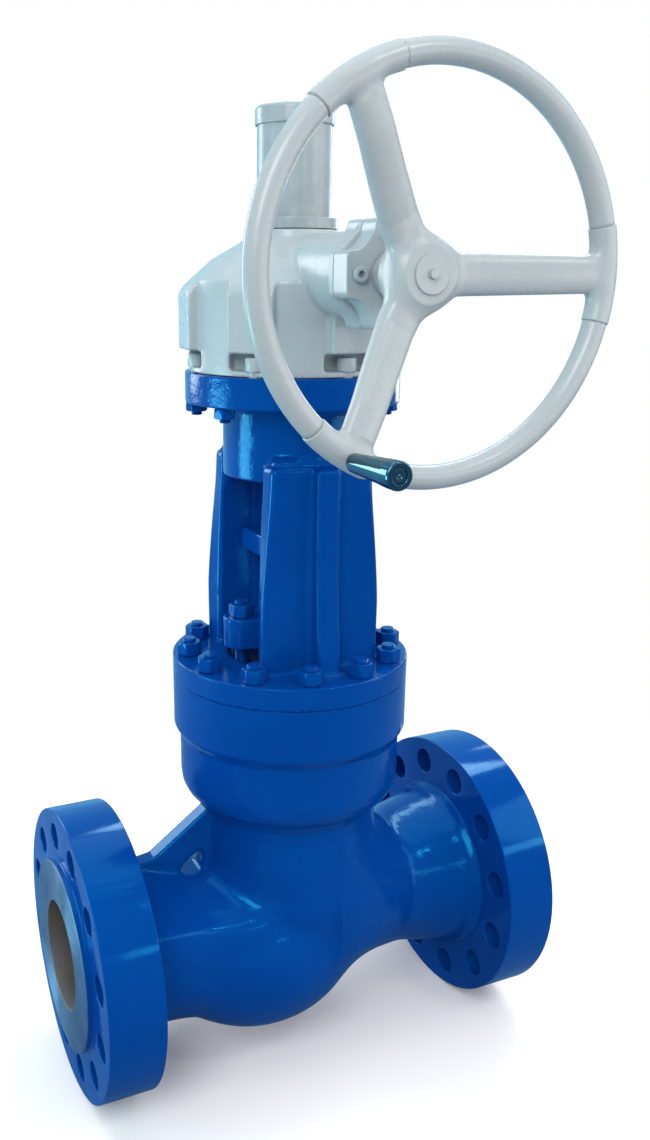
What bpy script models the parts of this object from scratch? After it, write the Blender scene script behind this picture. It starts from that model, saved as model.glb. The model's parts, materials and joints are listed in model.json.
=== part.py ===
"""Bevel gear globe valve with a pressure-seal bonnet and a side handwheel.

Metres, +Z up.  The origin is where the stem axis crosses the pipe axis.  The pipe runs along X
with its inlet at -X, the stem stands along +Z, and the handwheel faces -Y.
The valve is shown closed: the disc rests on its seat.
"""

import math

import bmesh
import bpy
from mathutils import Matrix, Vector

# Clearance that neighbouring pieces keep, and facet counts of the round pieces
CLEARANCE = 0.0003
LARGE_STEPS = 36
MEDIUM_STEPS = 24
SMALL_STEPS = 16
HOLE_SIDES = 6
PASSAGE_SIDES = 20

# Line ends
FACE_TO_FACE = 0.8414
FLANGE_DIAMETER = 0.4826
FLANGE_THICKNESS = 0.0921
RAISED_FACE_DIAMETER = 0.3175
RAISED_FACE_HEIGHT = 0.0111
FLANGE_BOLT_CIRCLE = 0.3937
FLANGE_HOLE_DIAMETER = 0.0445
FLANGE_HOLE_COUNT = 12
FLANGE_HOLE_SIDES = 8
FLANGE_HUB_RADIUS = 0.150
PORT_BORE = 0.178

# Body casting
NECK_RADIUS = 0.199
NECK_STEP_HEIGHT = 0.3587
NECK_STEP = 0.012
NECK_FOOT_HEIGHT = 0.262
NECK_HEIGHT = 0.4432
CHAMBER_WALL_RADIUS = 0.162
BOWL_CENTRE = (-0.0704, 0.0, -0.0409)
BOWL_RADII = (0.1955, 0.175, 0.1610)
OUTLET_WAIST_RADIUS = 0.121
GUSSET_THICKNESS = 0.040

# Trim inside the body
CHAMBER_RADIUS = 0.112
CHAMBER_FLOOR = 0.058
SEAT_FACE_HEIGHT = 0.064
SEAT_RING_RADIUS = 0.104
SEAT_RING_DEPTH = 0.028
SEAT_BORE_RADIUS = 0.084
DISC_RADIUS = 0.098
DISC_HEIGHT = 0.052
LIFT = 0.060
STEM_RADIUS = 0.0275
STEM_HEAD_RADIUS = 0.036
STEM_HEAD_HEIGHT = 0.016
STEM_TOP = 1.230

# Pressure-seal bonnet
BONNET_BORE = 0.120
BONNET_BOTTOM = 0.215
BONNET_SHOULDER = 0.280
BONNET_WEDGE_HEIGHT = 0.018
BONNET_NECK_RADIUS = 0.101
BONNET_TOP_SHOULDER = 0.415
BONNET_TOP_RADIUS = 0.067
BONNET_TOP = 0.470
GASKET_TOP = 0.312
RETAINER_BOTTOM = 0.330
RETAINER_HEIGHT = 0.026
RETAINER_INNER_RADIUS = 0.105
RETAINER_GROOVE_RADIUS = 0.134
RETAINER_SEGMENTS = 3
STUFFING_BOX_RADIUS = 0.042
STUFFING_BOX_BOTTOM = 0.340
PACKING_TOP = 0.436
PACKING_RINGS = 4
GLAND_TOP = 0.500

# Gland flange and its studs
GLAND_BOLT_OFFSET = 0.090
GLAND_EAR_RADIUS = 0.030
GLAND_CENTRE_RADIUS = 0.050
GLAND_FLANGE_THICKNESS = 0.051
GLAND_STUD_RADIUS = 0.011
GLAND_NUT_WIDTH = 0.036
GLAND_NUT_HEIGHT = 0.020

# Yoke
BASE_FLANGE_THICKNESS = 0.0375
WELL_RADIUS = 0.1045
WELL_DEPTH = 0.020
LEG_INNER_FACE = 0.080
LEG_OUTER_FACE = 0.115
LEG_STATIONS = ((0.475, 0.103), (0.560, 0.1045), (0.605, 0.1035), (0.680, 0.096),
                (0.765, 0.0845), (0.829, 0.080))
LEG_RIB_FOOT = 0.146
LEG_RIB_TOP = 0.128
LEG_RIB_HALF_WIDTH = 0.018
LEG_GUIDE_FACE = 0.072
LEG_GUIDE_HALF_WIDTH = 0.034
LEG_SPLAY = 0.010
COLLAR_RADIUS = 0.112
COLLAR_BOTTOM = 0.780
COLLAR_BORE_RADIUS = 0.036
PLATE_RADIUS = 0.1715
PLATE_BOTTOM = 0.902
PLATE_TOP = 0.950
BONNET_STUD_CIRCLE = 0.172
BONNET_STUD_COUNT = 12
BONNET_STUD_RADIUS = 0.0115
BONNET_STUD_DEPTH = 0.040
BONNET_NUT_WIDTH = 0.036
BONNET_NUT_HEIGHT = 0.022
STUD_END = 0.006

# Stem guide between the yoke legs
GUIDE_BOTTOM = 0.648
GUIDE_HEIGHT = 0.036
GUIDE_HALF_WIDTH = 0.056

# Gearbox
INPUT_AXIS_HEIGHT = 1.096
HOUSING_WALL_RADIUS = 0.169
HOUSING_CAVITY_RADIUS = 0.142
LOWER_CAVITY_RADIUS = 0.130
COLUMN_COUNT = 7
COLUMN_START_DEG = 17.4
COLUMN_FACE = 0.177
COLUMN_HALF_WIDTH = 0.036
ROOF_EDGE_RADIUS = 0.170
ROOF_EDGE_HEIGHT = 1.082
HOUSING_NECK_RADIUS = 0.082
HOUSING_NECK_HEIGHT = 1.150
HOUSING_TOP = 1.1634
FOOT_THICKNESS = 0.009
POCKET_HEIGHT = 0.025
POCKET_HALF_WIDTH = 0.040
SCREW_CIRCLE = 0.156
SCREW_HEAD_RADIUS = 0.0145
SCREW_HEAD_HEIGHT = 0.020
SCREW_RADIUS = 0.0095
SCREW_LENGTH = 0.030
PLATE_STUD_CIRCLE = 0.1535
PLATE_STUD_COUNT = 8
PLATE_STUD_START_DEG = 22.5
PLATE_STUD_RADIUS = 0.009
PLATE_STUD_GRIP = 0.007
THROUGH_BOLT_REACH = 0.020
PLATE_NUT_WIDTH = 0.030
PLATE_NUT_HEIGHT = 0.016
HORN_RADIUS = 0.058
HORN_END = -0.2515
HORN_BORE_RADIUS = 0.038
COVER_THICKNESS = 0.038
COVER_RADIUS = 0.053
COVER_LOBE_CIRCLE = 0.050
COVER_LOBE_RADIUS = 0.0225
COVER_SPIGOT = 0.010

# Bevel gear pair: straight teeth at a right angle
PINION_TEETH = 13
GEAR_TEETH = 39
MODULE = 0.006
FACE_WIDTH = 0.034
PRESSURE_ANGLE_DEG = 20.0
ADDENDUM = 0.80
DEDENDUM = 1.05
BACKLASH = 0.0005
PINION_SHAFT_RADIUS = 0.024
GEAR_HUB_RADIUS = 0.058

# Stem nut and its thrust bearings
NUT_RADIUS = 0.045
NUT_FLANGE_RADIUS = 0.064
NUT_FLANGE_THICKNESS = 0.018
NUT_SPIGOT_RADIUS = 0.044
ROLLER_RADIUS = 0.008
ROLLER_COUNT = 8
ROLLER_SIDES = 6
BEARING_POCKET_RADIUS = 0.0665
CAGE_HALF_THICKNESS = 0.003
CAGE_INNER_RADIUS = 0.0455
CAGE_OUTER_RADIUS = 0.0645
UPPER_BEARING_HEIGHT = 1.128

# Stem cover
COVER_TUBE_RADIUS = 0.057
COVER_TUBE_WALL = 0.005
COVER_TUBE_TOP = 1.330
COVER_COLLAR_RADIUS = 0.068
COVER_COLLAR_HEIGHT = 0.016
CAP_RADIUS = 0.060
CAP_SKIRT = 0.030
CAP_TOP = 1.343

# Handwheel
HUB_BACK = -0.335
HUB_FRONT = -0.390
HUB_RADIUS = 0.047
RIM_PLANE = -0.414
RIM_RADIUS = 0.252
RIM_TUBE_RADIUS = 0.016
SOCKET_RADIUS = 0.0178
SOCKET_HALF_DEG = 14.0
SPOKE_COUNT = 3
SPOKE_ROOT_WIDTH = 0.056
SPOKE_TIP_WIDTH = 0.047
SPOKE_ROOT_THICKNESS = 0.034
SPOKE_TIP_THICKNESS = 0.024
WHEEL_SHAFT_RADIUS = 0.021
END_PLATE_RADIUS = 0.025
END_PLATE_THICKNESS = 0.004
HANDLE_LENGTH = 0.108
HANDLE_BASE_RADIUS = 0.0116
HANDLE_END_RADIUS = 0.0164
HANDLE_PIN_RADIUS = 0.006
HANDLE_CIRCLE = 0.2566
HANDLE_SPOKE_DEG = 240.0

# Heights that follow from the sizes above
HALF_LENGTH = FACE_TO_FACE / 2
BASE_FLANGE_BOTTOM = NECK_HEIGHT + CLEARANCE
BASE_FLANGE_TOP = BASE_FLANGE_BOTTOM + BASE_FLANGE_THICKNESS
SEAT_RING_BOTTOM = SEAT_FACE_HEIGHT - SEAT_RING_DEPTH
DISC_BOTTOM = SEAT_FACE_HEIGHT + CLEARANCE
HOUSING_BOTTOM = PLATE_TOP + CLEARANCE
LOWER_BEARING_HEIGHT = PLATE_TOP - 0.0065
NUT_BOTTOM = LOWER_BEARING_HEIGHT + ROLLER_RADIUS + CLEARANCE
HUB_BOTTOM = NUT_BOTTOM + NUT_FLANGE_THICKNESS + CLEARANCE
HUB_TOP = UPPER_BEARING_HEIGHT - ROLLER_RADIUS - CLEARANCE
UPPER_POCKET_ROOF = UPPER_BEARING_HEIGHT + ROLLER_RADIUS + CLEARANCE
GLAND_FLANGE_TOP = GLAND_TOP + CLEARANCE + GLAND_FLANGE_THICKNESS
POCKET_BOTTOM = HOUSING_BOTTOM + FOOT_THICKNESS
COVER_FACE = HORN_END - CLEARANCE - COVER_THICKNESS

PAINT_BLUE = ("blue_paint", (0.010, 0.085, 0.350), 0.28, 0.0)
PAINT_GREY = ("grey_paint", (0.520, 0.580, 0.600), 0.38, 0.0)
BARE_STEEL = ("bare_steel", (0.420, 0.420, 0.430), 0.35, 1.0)
TRIM_STEEL = ("trim_steel", (0.550, 0.550, 0.560), 0.22, 1.0)
CHROME = ("chrome", (0.800, 0.820, 0.840), 0.08, 1.0)
BRONZE = ("bronze", (0.560, 0.370, 0.170), 0.32, 1.0)
GRAPHITE = ("graphite", (0.045, 0.045, 0.050), 0.60, 0.0)


def clear_scene():
    """Remove every object, so the model starts from nothing."""
    for thing in list(bpy.data.objects):
        bpy.data.objects.remove(thing, do_unlink=True)


def new_collection(name):
    """Make a collection under the scene's root."""
    collection = bpy.data.collections.new(name)
    bpy.context.scene.collection.children.link(collection)
    return collection


clear_scene()
PARTS = new_collection("bevel_gear_globe_valve")
CUTTERS = new_collection("cutters")

# Turns that lay a shape made along +Z onto another axis
ALONG_X = Matrix.Rotation(math.radians(90), 4, "Y")
ALONG_MINUS_Y = Matrix.Rotation(math.radians(90), 4, "X")
INPUT_AXIS = Matrix.Translation((0, 0, INPUT_AXIS_HEIGHT)) @ ALONG_MINUS_Y


def material(finish):
    """Return the Principled material of a finish: (name, colour, roughness, metallic)."""
    name, colour, roughness, metallic = finish
    found = bpy.data.materials.get(name)
    if found:
        return found
    made = bpy.data.materials.new(name)
    made.use_nodes = True
    shader = made.node_tree.nodes["Principled BSDF"]
    shader.inputs["Base Color"].default_value = (*colour, 1)
    shader.inputs["Roughness"].default_value = roughness
    shader.inputs["Metallic"].default_value = metallic
    made.diffuse_color = (*colour, 1)
    return made


def add_object(name, mesh, finish=None, matrix=None):
    """Link a mesh as a part with its finish, or as a cutter when it has none."""
    thing = bpy.data.objects.new(name, mesh)
    if matrix is not None:
        thing.matrix_world = matrix
    if finish:
        PARTS.objects.link(thing)
        if not mesh.materials:
            mesh.materials.append(material(finish))
    else:
        CUTTERS.objects.link(thing)
        thing.hide_render = True
        thing.display_type = "WIRE"
    return thing


def boolean(target, tool, operation):
    """Add an exact Boolean with another object, then a weld that closes hairline slivers."""
    step = target.modifiers.new(operation.lower(), "BOOLEAN")
    step.operation = operation
    step.solver = "EXACT"
    step.object = tool
    weld = target.modifiers.new("weld", "WELD")
    weld.merge_threshold = CLEARANCE / 15
    return target


def join(target, tool):
    """Fuse a tool's shape to a part."""
    return boolean(target, tool, "UNION")


def cut(target, tool):
    """Cut a tool's shape out of a part."""
    return boolean(target, tool, "DIFFERENCE")


def bake(thing):
    """Turn a modified object or a curve into a plain mesh object of the same name."""
    graph = bpy.context.evaluated_depsgraph_get()
    mesh = bpy.data.meshes.new_from_object(thing.evaluated_get(graph))
    work = bmesh.new()
    work.from_mesh(mesh)
    bmesh.ops.remove_doubles(work, verts=work.verts, dist=CLEARANCE / 30)
    work.to_mesh(mesh)
    work.free()
    name = thing.name
    matrix = thing.matrix_world.copy()
    home = thing.users_collection[0]
    bpy.data.objects.remove(thing, do_unlink=True)
    made = bpy.data.objects.new(name, mesh)
    made.matrix_world = matrix
    home.objects.link(made)
    if home == CUTTERS:
        made.hide_render = True
        made.display_type = "WIRE"
    return made


def signed_area(points):
    """Area of a closed (radius, height) loop, negative when it runs clockwise."""
    pairs = zip(points, points[1:] + points[:1])
    return sum(a[0] * b[1] - b[0] * a[1] for a, b in pairs) / 2


def turned(name, profile, finish=None, matrix=None, steps=MEDIUM_STEPS):
    """Turn a profile of (radius, height) points about local Z with a Screw modifier.

    A profile that starts and ends on the axis makes a solid; any other is closed to a ring.
    """
    points = list(profile)
    if signed_area(points) > 0:
        points.reverse()
    solid = points[0][0] == 0 and points[-1][0] == 0
    count = len(points)
    edges = [(i, i + 1) for i in range(count - 1)]
    if not solid:
        edges.append((count - 1, 0))
    mesh = bpy.data.meshes.new(name)
    mesh.from_pydata([(r, 0, z) for r, z in points], edges, [])
    thing = add_object(name, mesh, finish, matrix)
    screw = thing.modifiers.new("turn", "SCREW")
    screw.axis = "Z"
    screw.steps = steps
    screw.render_steps = steps
    screw.use_merge_vertices = True
    screw.merge_threshold = 0.00001
    screw.use_smooth_shade = False
    return thing


def ring(name, inner, outer, bottom, top, finish=None, matrix=None, steps=MEDIUM_STEPS):
    """A plain ring of rectangular section about local Z."""
    section = [(inner, bottom), (outer, bottom), (outer, top), (inner, top)]
    return turned(name, section, finish, matrix, steps)


def rod(name, radius, bottom, top, finish=None, matrix=None, steps=MEDIUM_STEPS):
    """A plain cylinder about local Z."""
    return turned(name, [(0, top), (radius, top), (radius, bottom), (0, bottom)], finish, matrix, steps)


def rods(name, places, radius, bottom, top, sides, finish=None, matrix=None):
    """Several equal cylinders along local Z in one mesh, at (x, y) places."""
    work = bmesh.new()
    for x, y in places:
        shift = Matrix.Translation((x, y, (bottom + top) / 2))
        bmesh.ops.create_cone(work, cap_ends=True, segments=sides, radius1=radius, radius2=radius,
                              depth=top - bottom, matrix=shift)
    mesh = bpy.data.meshes.new(name)
    work.to_mesh(mesh)
    work.free()
    return add_object(name, mesh, finish, matrix)


def circle_places(radius, count, start_deg=0.0):
    """Evenly spaced (x, y) places on a circle."""
    angles = [math.radians(start_deg + 360 * i / count) for i in range(count)]
    return [(radius * math.cos(a), radius * math.sin(a)) for a in angles]


def box(name, low, high, finish=None, matrix=None):
    """A box between two corners."""
    work = bmesh.new()
    size = Vector(high) - Vector(low)
    centre = (Vector(high) + Vector(low)) / 2
    place = Matrix.Translation(centre) @ Matrix.Diagonal((*size, 1))
    bmesh.ops.create_cube(work, size=1, matrix=place)
    mesh = bpy.data.meshes.new(name)
    work.to_mesh(mesh)
    work.free()
    return add_object(name, mesh, finish, matrix)


def extruded(name, outline, bottom, top, finish=None, matrix=None):
    """A flat outline of (x, y) points, filled and extruded along local Z."""
    curve = bpy.data.curves.new(name, "CURVE")
    curve.dimensions = "2D"
    curve.fill_mode = "BOTH"
    curve.extrude = (top - bottom) / 2
    spline = curve.splines.new("POLY")
    spline.points.add(len(outline) - 1)
    for point, (x, y) in zip(spline.points, outline):
        point.co = (x, y, 0, 1)
    spline.use_cyclic_u = True
    thing = add_curve(name, curve, finish)
    shift = Matrix.Translation((0, 0, (bottom + top) / 2))
    thing.matrix_world = (matrix @ shift) if matrix is not None else shift
    bpy.context.view_layer.update()
    return bake(thing)


def add_curve(name, curve, finish):
    """Link a curve as a part with its finish, or as a cutter when it has none."""
    thing = bpy.data.objects.new(name, curve)
    if finish:
        PARTS.objects.link(thing)
        curve.materials.append(material(finish))
    else:
        CUTTERS.objects.link(thing)
    return thing


def tube_along(name, points, radius, resolution, finish=None):
    """A round solid that follows a line of points, as a mesh with closed ends."""
    curve = bpy.data.curves.new(name, "CURVE")
    curve.dimensions = "3D"
    curve.bevel_depth = radius
    curve.bevel_resolution = resolution
    curve.use_fill_caps = True
    curve.twist_mode = "MINIMUM"
    spline = curve.splines.new("POLY")
    spline.points.add(len(points) - 1)
    for point, place in zip(spline.points, points):
        point.co = (*place, 1)
    thing = add_curve(name, curve, finish)
    bpy.context.view_layer.update()
    return bake(thing)


def loft(name, sections, finish=None, matrix=None):
    """A closed solid through sections that each hold the same number of points."""
    work = bmesh.new()
    rows = [[work.verts.new(point) for point in section] for section in sections]
    for row, following in zip(rows, rows[1:]):
        for i in range(len(row)):
            j = (i + 1) % len(row)
            work.faces.new((row[i], row[j], following[j], following[i]))
    work.faces.new(rows[0][::-1])
    work.faces.new(rows[-1])
    bmesh.ops.connect_verts_nonplanar(work, angle_limit=math.radians(0.2), faces=work.faces)
    bmesh.ops.recalc_face_normals(work, faces=work.faces)
    mesh = bpy.data.meshes.new(name)
    work.to_mesh(mesh)
    work.free()
    return add_object(name, mesh, finish, matrix)


def blend_outline(base_radius, bosses, count, softness):
    """Outline of a disc with round bosses, softly blended, as (x, y) points.

    The reach along each direction is the largest of the disc's and the bosses', rounded off
    where two of them meet.
    """
    outline = []
    for i in range(count):
        angle = 2 * math.pi * i / count
        total = math.exp(base_radius / softness)
        for x, y, radius in bosses:
            along = x * math.cos(angle) + y * math.sin(angle)
            aside = x * math.sin(angle) - y * math.cos(angle)
            if abs(aside) < radius and along > 0:
                reach = along + math.sqrt(radius ** 2 - aside ** 2)
                total += math.exp(reach / softness)
        reach = softness * math.log(total)
        outline.append((reach * math.cos(angle), reach * math.sin(angle)))
    return outline


def running_bore(radius, steps):
    """Radius of a faceted bore whose flats still clear a shaft that turns in it."""
    return (radius + CLEARANCE) / math.cos(math.pi / steps)


def arc(centre, radius, start_deg, end_deg, count):
    """Points of an arc in a plane, both ends included."""
    step = (end_deg - start_deg) / (count - 1)
    angles = [math.radians(start_deg + step * i) for i in range(count)]
    return [(centre[0] + radius * math.cos(a), centre[1] + radius * math.sin(a)) for a in angles]


def copies(source, names, matrices):
    """Place copies of a baked piece that share its mesh, and remove the piece itself."""
    made = []
    for name, matrix in zip(names, matrices):
        thing = bpy.data.objects.new(name, source.data)
        thing.matrix_world = matrix
        PARTS.objects.link(thing)
        made.append(thing)
    bpy.data.objects.remove(source, do_unlink=True)
    return made


def numbered(stem, count):
    """Names such as stem_01, stem_02."""
    return [f"{stem}_{i + 1:02d}" for i in range(count)]


# Body

def body_neck():
    """The barrel over the chamber: two diameters with a step, then a rounded foot."""
    lower = NECK_RADIUS - NECK_STEP
    step_low = NECK_STEP_HEIGHT - NECK_STEP
    foot = NECK_FOOT_HEIGHT
    foot_drop = lower - CHAMBER_WALL_RADIUS
    outer = [(0, NECK_HEIGHT), (NECK_RADIUS, NECK_HEIGHT), (NECK_RADIUS, NECK_STEP_HEIGHT), (lower, step_low)]
    outer += arc((CHAMBER_WALL_RADIUS, foot - foot_drop * 0.4), foot_drop, 0, -60, 4)
    outer += [(CHAMBER_WALL_RADIUS, foot - 2.2 * foot_drop)]
    outer += [(CHAMBER_WALL_RADIUS + 0.006, 0.120), (CHAMBER_WALL_RADIUS + 0.008, 0.050),
              (CHAMBER_WALL_RADIUS, -0.030), (0.100, -0.120), (0, -0.140)]
    return outer


def flange_profile(neck):
    """Half a line end, turned about the pipe: heights are distances from the stem axis."""
    back = HALF_LENGTH - RAISED_FACE_HEIGHT - FLANGE_THICKNESS
    front = HALF_LENGTH - RAISED_FACE_HEIGHT
    face = RAISED_FACE_DIAMETER / 2
    rim = FLANGE_DIAMETER / 2
    end = [(0, HALF_LENGTH), (face, HALF_LENGTH), (face, front), (rim, front), (rim, back)]
    return end + neck(back) + [(0, neck(back)[-1][1])]


def inlet_neck(back):
    """Short hub of the inlet; the neck behind it is the oval run that dips towards the bowl."""
    return [(FLANGE_HUB_RADIUS + 0.006, back), (FLANGE_HUB_RADIUS, back - 0.012), (0.120, back - 0.014)]


def outlet_neck(back):
    """Hub and waisted neck of the outlet."""
    return [(FLANGE_HUB_RADIUS + 0.006, back), (FLANGE_HUB_RADIUS - 0.002, back - 0.014),
            (OUTLET_WAIST_RADIUS + 0.013, 0.245), (OUTLET_WAIST_RADIUS, 0.198),
            (OUTLET_WAIST_RADIUS + 0.004, 0.160), (OUTLET_WAIST_RADIUS + 0.016, 0.118), (0.140, 0.040)]


def ellipsoid(name, centre, radii, finish=None):
    """A ball with its own radius along each axis."""
    work = bmesh.new()
    place = Matrix.Translation(centre) @ Matrix.Diagonal((*radii, 1))
    bmesh.ops.create_uvsphere(work, u_segments=MEDIUM_STEPS, v_segments=10, radius=1, matrix=place)
    mesh = bpy.data.meshes.new(name)
    work.to_mesh(mesh)
    work.free()
    return add_object(name, mesh, finish)


def gusset():
    """Web between the neck and the inlet neck, with its triangular window."""
    upright = Matrix.Rotation(math.radians(90), 4, "X")
    half = GUSSET_THICKNESS / 2
    outline = [(-0.140, 0.228), (-0.168, 0.213), (-0.258, 0.147), (-0.290, 0.144), (-0.290, 0.120), (-0.140, 0.060)]
    web = extruded("gusset", outline, -half, half, None, upright)
    window = [(-0.221, 0.096), (-0.213, 0.112), (-0.200, 0.126), (-0.187, 0.136), (-0.174, 0.141),
              (-0.167, 0.137), (-0.166, 0.086)]
    cut(web, extruded("gusset_window", window, -half - 0.01, half + 0.01, None, upright))
    return web


def passage(name, stations):
    """A run through oval sections in the upright plane of the pipe.

    Each station is (x, z, slope in degrees, half height, half width).
    """
    sections = []
    for x, z, slope, half_height, half_width in stations:
        lean = math.radians(slope)
        section = []
        for i in range(PASSAGE_SIDES):
            angle = 2 * math.pi * (i + 0.5) / PASSAGE_SIDES
            rise = half_height * math.sin(angle)
            section.append((x - rise * math.sin(lean), half_width * math.cos(angle), z + rise * math.cos(lean)))
        sections.append(section)
    return loft(name, sections)


def chamber_cutter():
    """Everything bored from above: bonnet bore, retainer groove, chamber, seat pocket."""
    groove_top = RETAINER_BOTTOM + RETAINER_HEIGHT
    pocket = SEAT_RING_RADIUS + CLEARANCE
    return turned("chamber", [
        (0, NECK_HEIGHT + 0.01), (BONNET_BORE, NECK_HEIGHT + 0.01), (BONNET_BORE, groove_top),
        (RETAINER_GROOVE_RADIUS, groove_top), (RETAINER_GROOVE_RADIUS, RETAINER_BOTTOM),
        (BONNET_BORE, RETAINER_BOTTOM), (BONNET_BORE, BONNET_BOTTOM - CLEARANCE),
        (CHAMBER_RADIUS, BONNET_BOTTOM - CLEARANCE), (CHAMBER_RADIUS, CHAMBER_FLOOR),
        (pocket, CHAMBER_FLOOR), (pocket, SEAT_RING_BOTTOM - CLEARANCE),
        (SEAT_BORE_RADIUS, SEAT_RING_BOTTOM - CLEARANCE), (SEAT_BORE_RADIUS, -0.030), (0, -0.030),
    ], steps=LARGE_STEPS)


def make_body():
    """The body casting with its passages, flanges and stud holes."""
    body = turned("body", body_neck(), PAINT_BLUE, steps=LARGE_STEPS)
    join(body, ellipsoid("bowl", BOWL_CENTRE, BOWL_RADII))
    join(body, turned("inlet_end", flange_profile(inlet_neck), None,
                      Matrix.Rotation(math.radians(-90), 4, "Y"), LARGE_STEPS))
    join(body, turned("outlet_end", flange_profile(outlet_neck), None, ALONG_X, LARGE_STEPS))
    join(body, passage("inlet_neck", [
        (-0.322, 0, 0, 0.149, 0.149), (-0.272, -0.006, -8, 0.141, 0.146), (-0.215, -0.025, -14, 0.128, 0.144),
        (-0.150, -0.046, -14, 0.132, 0.148), (-0.090, -0.050, -6, 0.125, 0.140)]))
    join(body, gusset())
    over = HALF_LENGTH + 0.02
    bore = PORT_BORE / 2
    cut(body, passage("inlet_passage", [
        (-over, 0, 0, bore, bore), (-0.320, 0, 0, bore, bore), (-0.270, -0.006, -10, 0.088, 0.090),
        (-0.220, -0.022, -17, 0.084, 0.092), (-0.130, -0.058, -20, 0.071, 0.096), (-0.045, -0.070, -5, 0.064, 0.094)]))
    cut(body, ellipsoid("under_seat", (-0.035, 0, -0.055), (0.112, 0.104, 0.086)))
    cut(body, passage("outlet_passage", [
        (0.040, 0.120, -8, 0.056, 0.084), (0.098, 0.106, -26, 0.050, 0.090), (0.132, 0.076, -34, 0.045, 0.092),
        (0.176, 0.036, -32, 0.062, 0.092), (0.226, 0.009, -17, 0.080, 0.090), (0.285, 0, 0, bore, bore),
        (over, 0, 0, bore, bore)]))
    cut(body, chamber_cutter())
    start = 180 / FLANGE_HOLE_COUNT
    places = circle_places(FLANGE_BOLT_CIRCLE / 2, FLANGE_HOLE_COUNT, start)
    back = HALF_LENGTH - RAISED_FACE_HEIGHT - FLANGE_THICKNESS - 0.004
    for side, name in ((-1, "inlet_bolt_holes"), (1, "outlet_bolt_holes")):
        low, high = sorted((side * back, side * HALF_LENGTH))
        cut(body, rods(name, places, FLANGE_HOLE_DIAMETER / 2, low, high, FLANGE_HOLE_SIDES, None, ALONG_X))
    studs = circle_places(BONNET_STUD_CIRCLE, BONNET_STUD_COUNT, 180 / BONNET_STUD_COUNT)
    bottom = NECK_HEIGHT - BONNET_STUD_DEPTH - CLEARANCE
    cut(body, rods("body_stud_holes", studs, BONNET_STUD_RADIUS + CLEARANCE, bottom, NECK_HEIGHT + 0.01,
                   HOLE_SIDES))
    return body


# Trim

def make_seat_ring():
    """Seat ring in the body's pocket, with a bevelled seating edge."""
    bevel = 0.006
    return turned("seat_ring", [
        (SEAT_BORE_RADIUS, SEAT_RING_BOTTOM), (SEAT_RING_RADIUS, SEAT_RING_BOTTOM),
        (SEAT_RING_RADIUS, SEAT_FACE_HEIGHT), (SEAT_BORE_RADIUS + bevel, SEAT_FACE_HEIGHT),
        (SEAT_BORE_RADIUS, SEAT_FACE_HEIGHT - bevel),
    ], TRIM_STEEL, steps=LARGE_STEPS)


def make_disc():
    """Disc with its tapered nose, and the pocket that takes the stem head and the disc nut."""
    nose = 0.005
    floor = DISC_BOTTOM + 0.014
    head_room = floor + STEM_HEAD_HEIGHT + 2 * CLEARANCE
    pocket = running_bore(STEM_HEAD_RADIUS, MEDIUM_STEPS)
    top = DISC_BOTTOM + DISC_HEIGHT
    nut_pocket = STEM_HEAD_RADIUS + 0.012 + CLEARANCE
    return turned("disc", [
        (0, floor), (pocket, floor), (pocket, head_room), (nut_pocket, head_room), (nut_pocket, top),
        (DISC_RADIUS - 0.020, top), (DISC_RADIUS, top - 0.022), (DISC_RADIUS, DISC_BOTTOM),
        (SEAT_BORE_RADIUS - 0.001, DISC_BOTTOM), (SEAT_BORE_RADIUS - 0.006, DISC_BOTTOM - nose),
        (0, DISC_BOTTOM - nose),
    ], TRIM_STEEL)


def make_disc_nut():
    """Ring nut that keeps the stem head in the disc."""
    bottom = DISC_BOTTOM + 0.014 + STEM_HEAD_HEIGHT + 3 * CLEARANCE
    outer = STEM_HEAD_RADIUS + 0.012
    top = DISC_BOTTOM + DISC_HEIGHT + 0.006
    return ring("disc_nut", running_bore(STEM_RADIUS, MEDIUM_STEPS), outer, bottom, top, TRIM_STEEL)


def make_stem():
    """Rising stem: T-head in the disc, back-seat collar, long shank."""
    head_low = DISC_BOTTOM + 0.014 + CLEARANCE
    head_top = head_low + STEM_HEAD_HEIGHT
    back_seat = BONNET_BOTTOM - LIFT - CLEARANCE
    return turned("stem", [
        (0, STEM_TOP), (STEM_RADIUS - 0.003, STEM_TOP), (STEM_RADIUS, STEM_TOP - 0.003),
        (STEM_RADIUS, back_seat), (STEM_HEAD_RADIUS, back_seat - 0.010),
        (STEM_HEAD_RADIUS, back_seat - 0.018), (STEM_RADIUS, back_seat - 0.022),
        (STEM_RADIUS, head_top), (STEM_HEAD_RADIUS, head_top), (STEM_HEAD_RADIUS, head_low), (0, head_low),
    ], TRIM_STEEL)


# Pressure-seal bonnet

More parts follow.
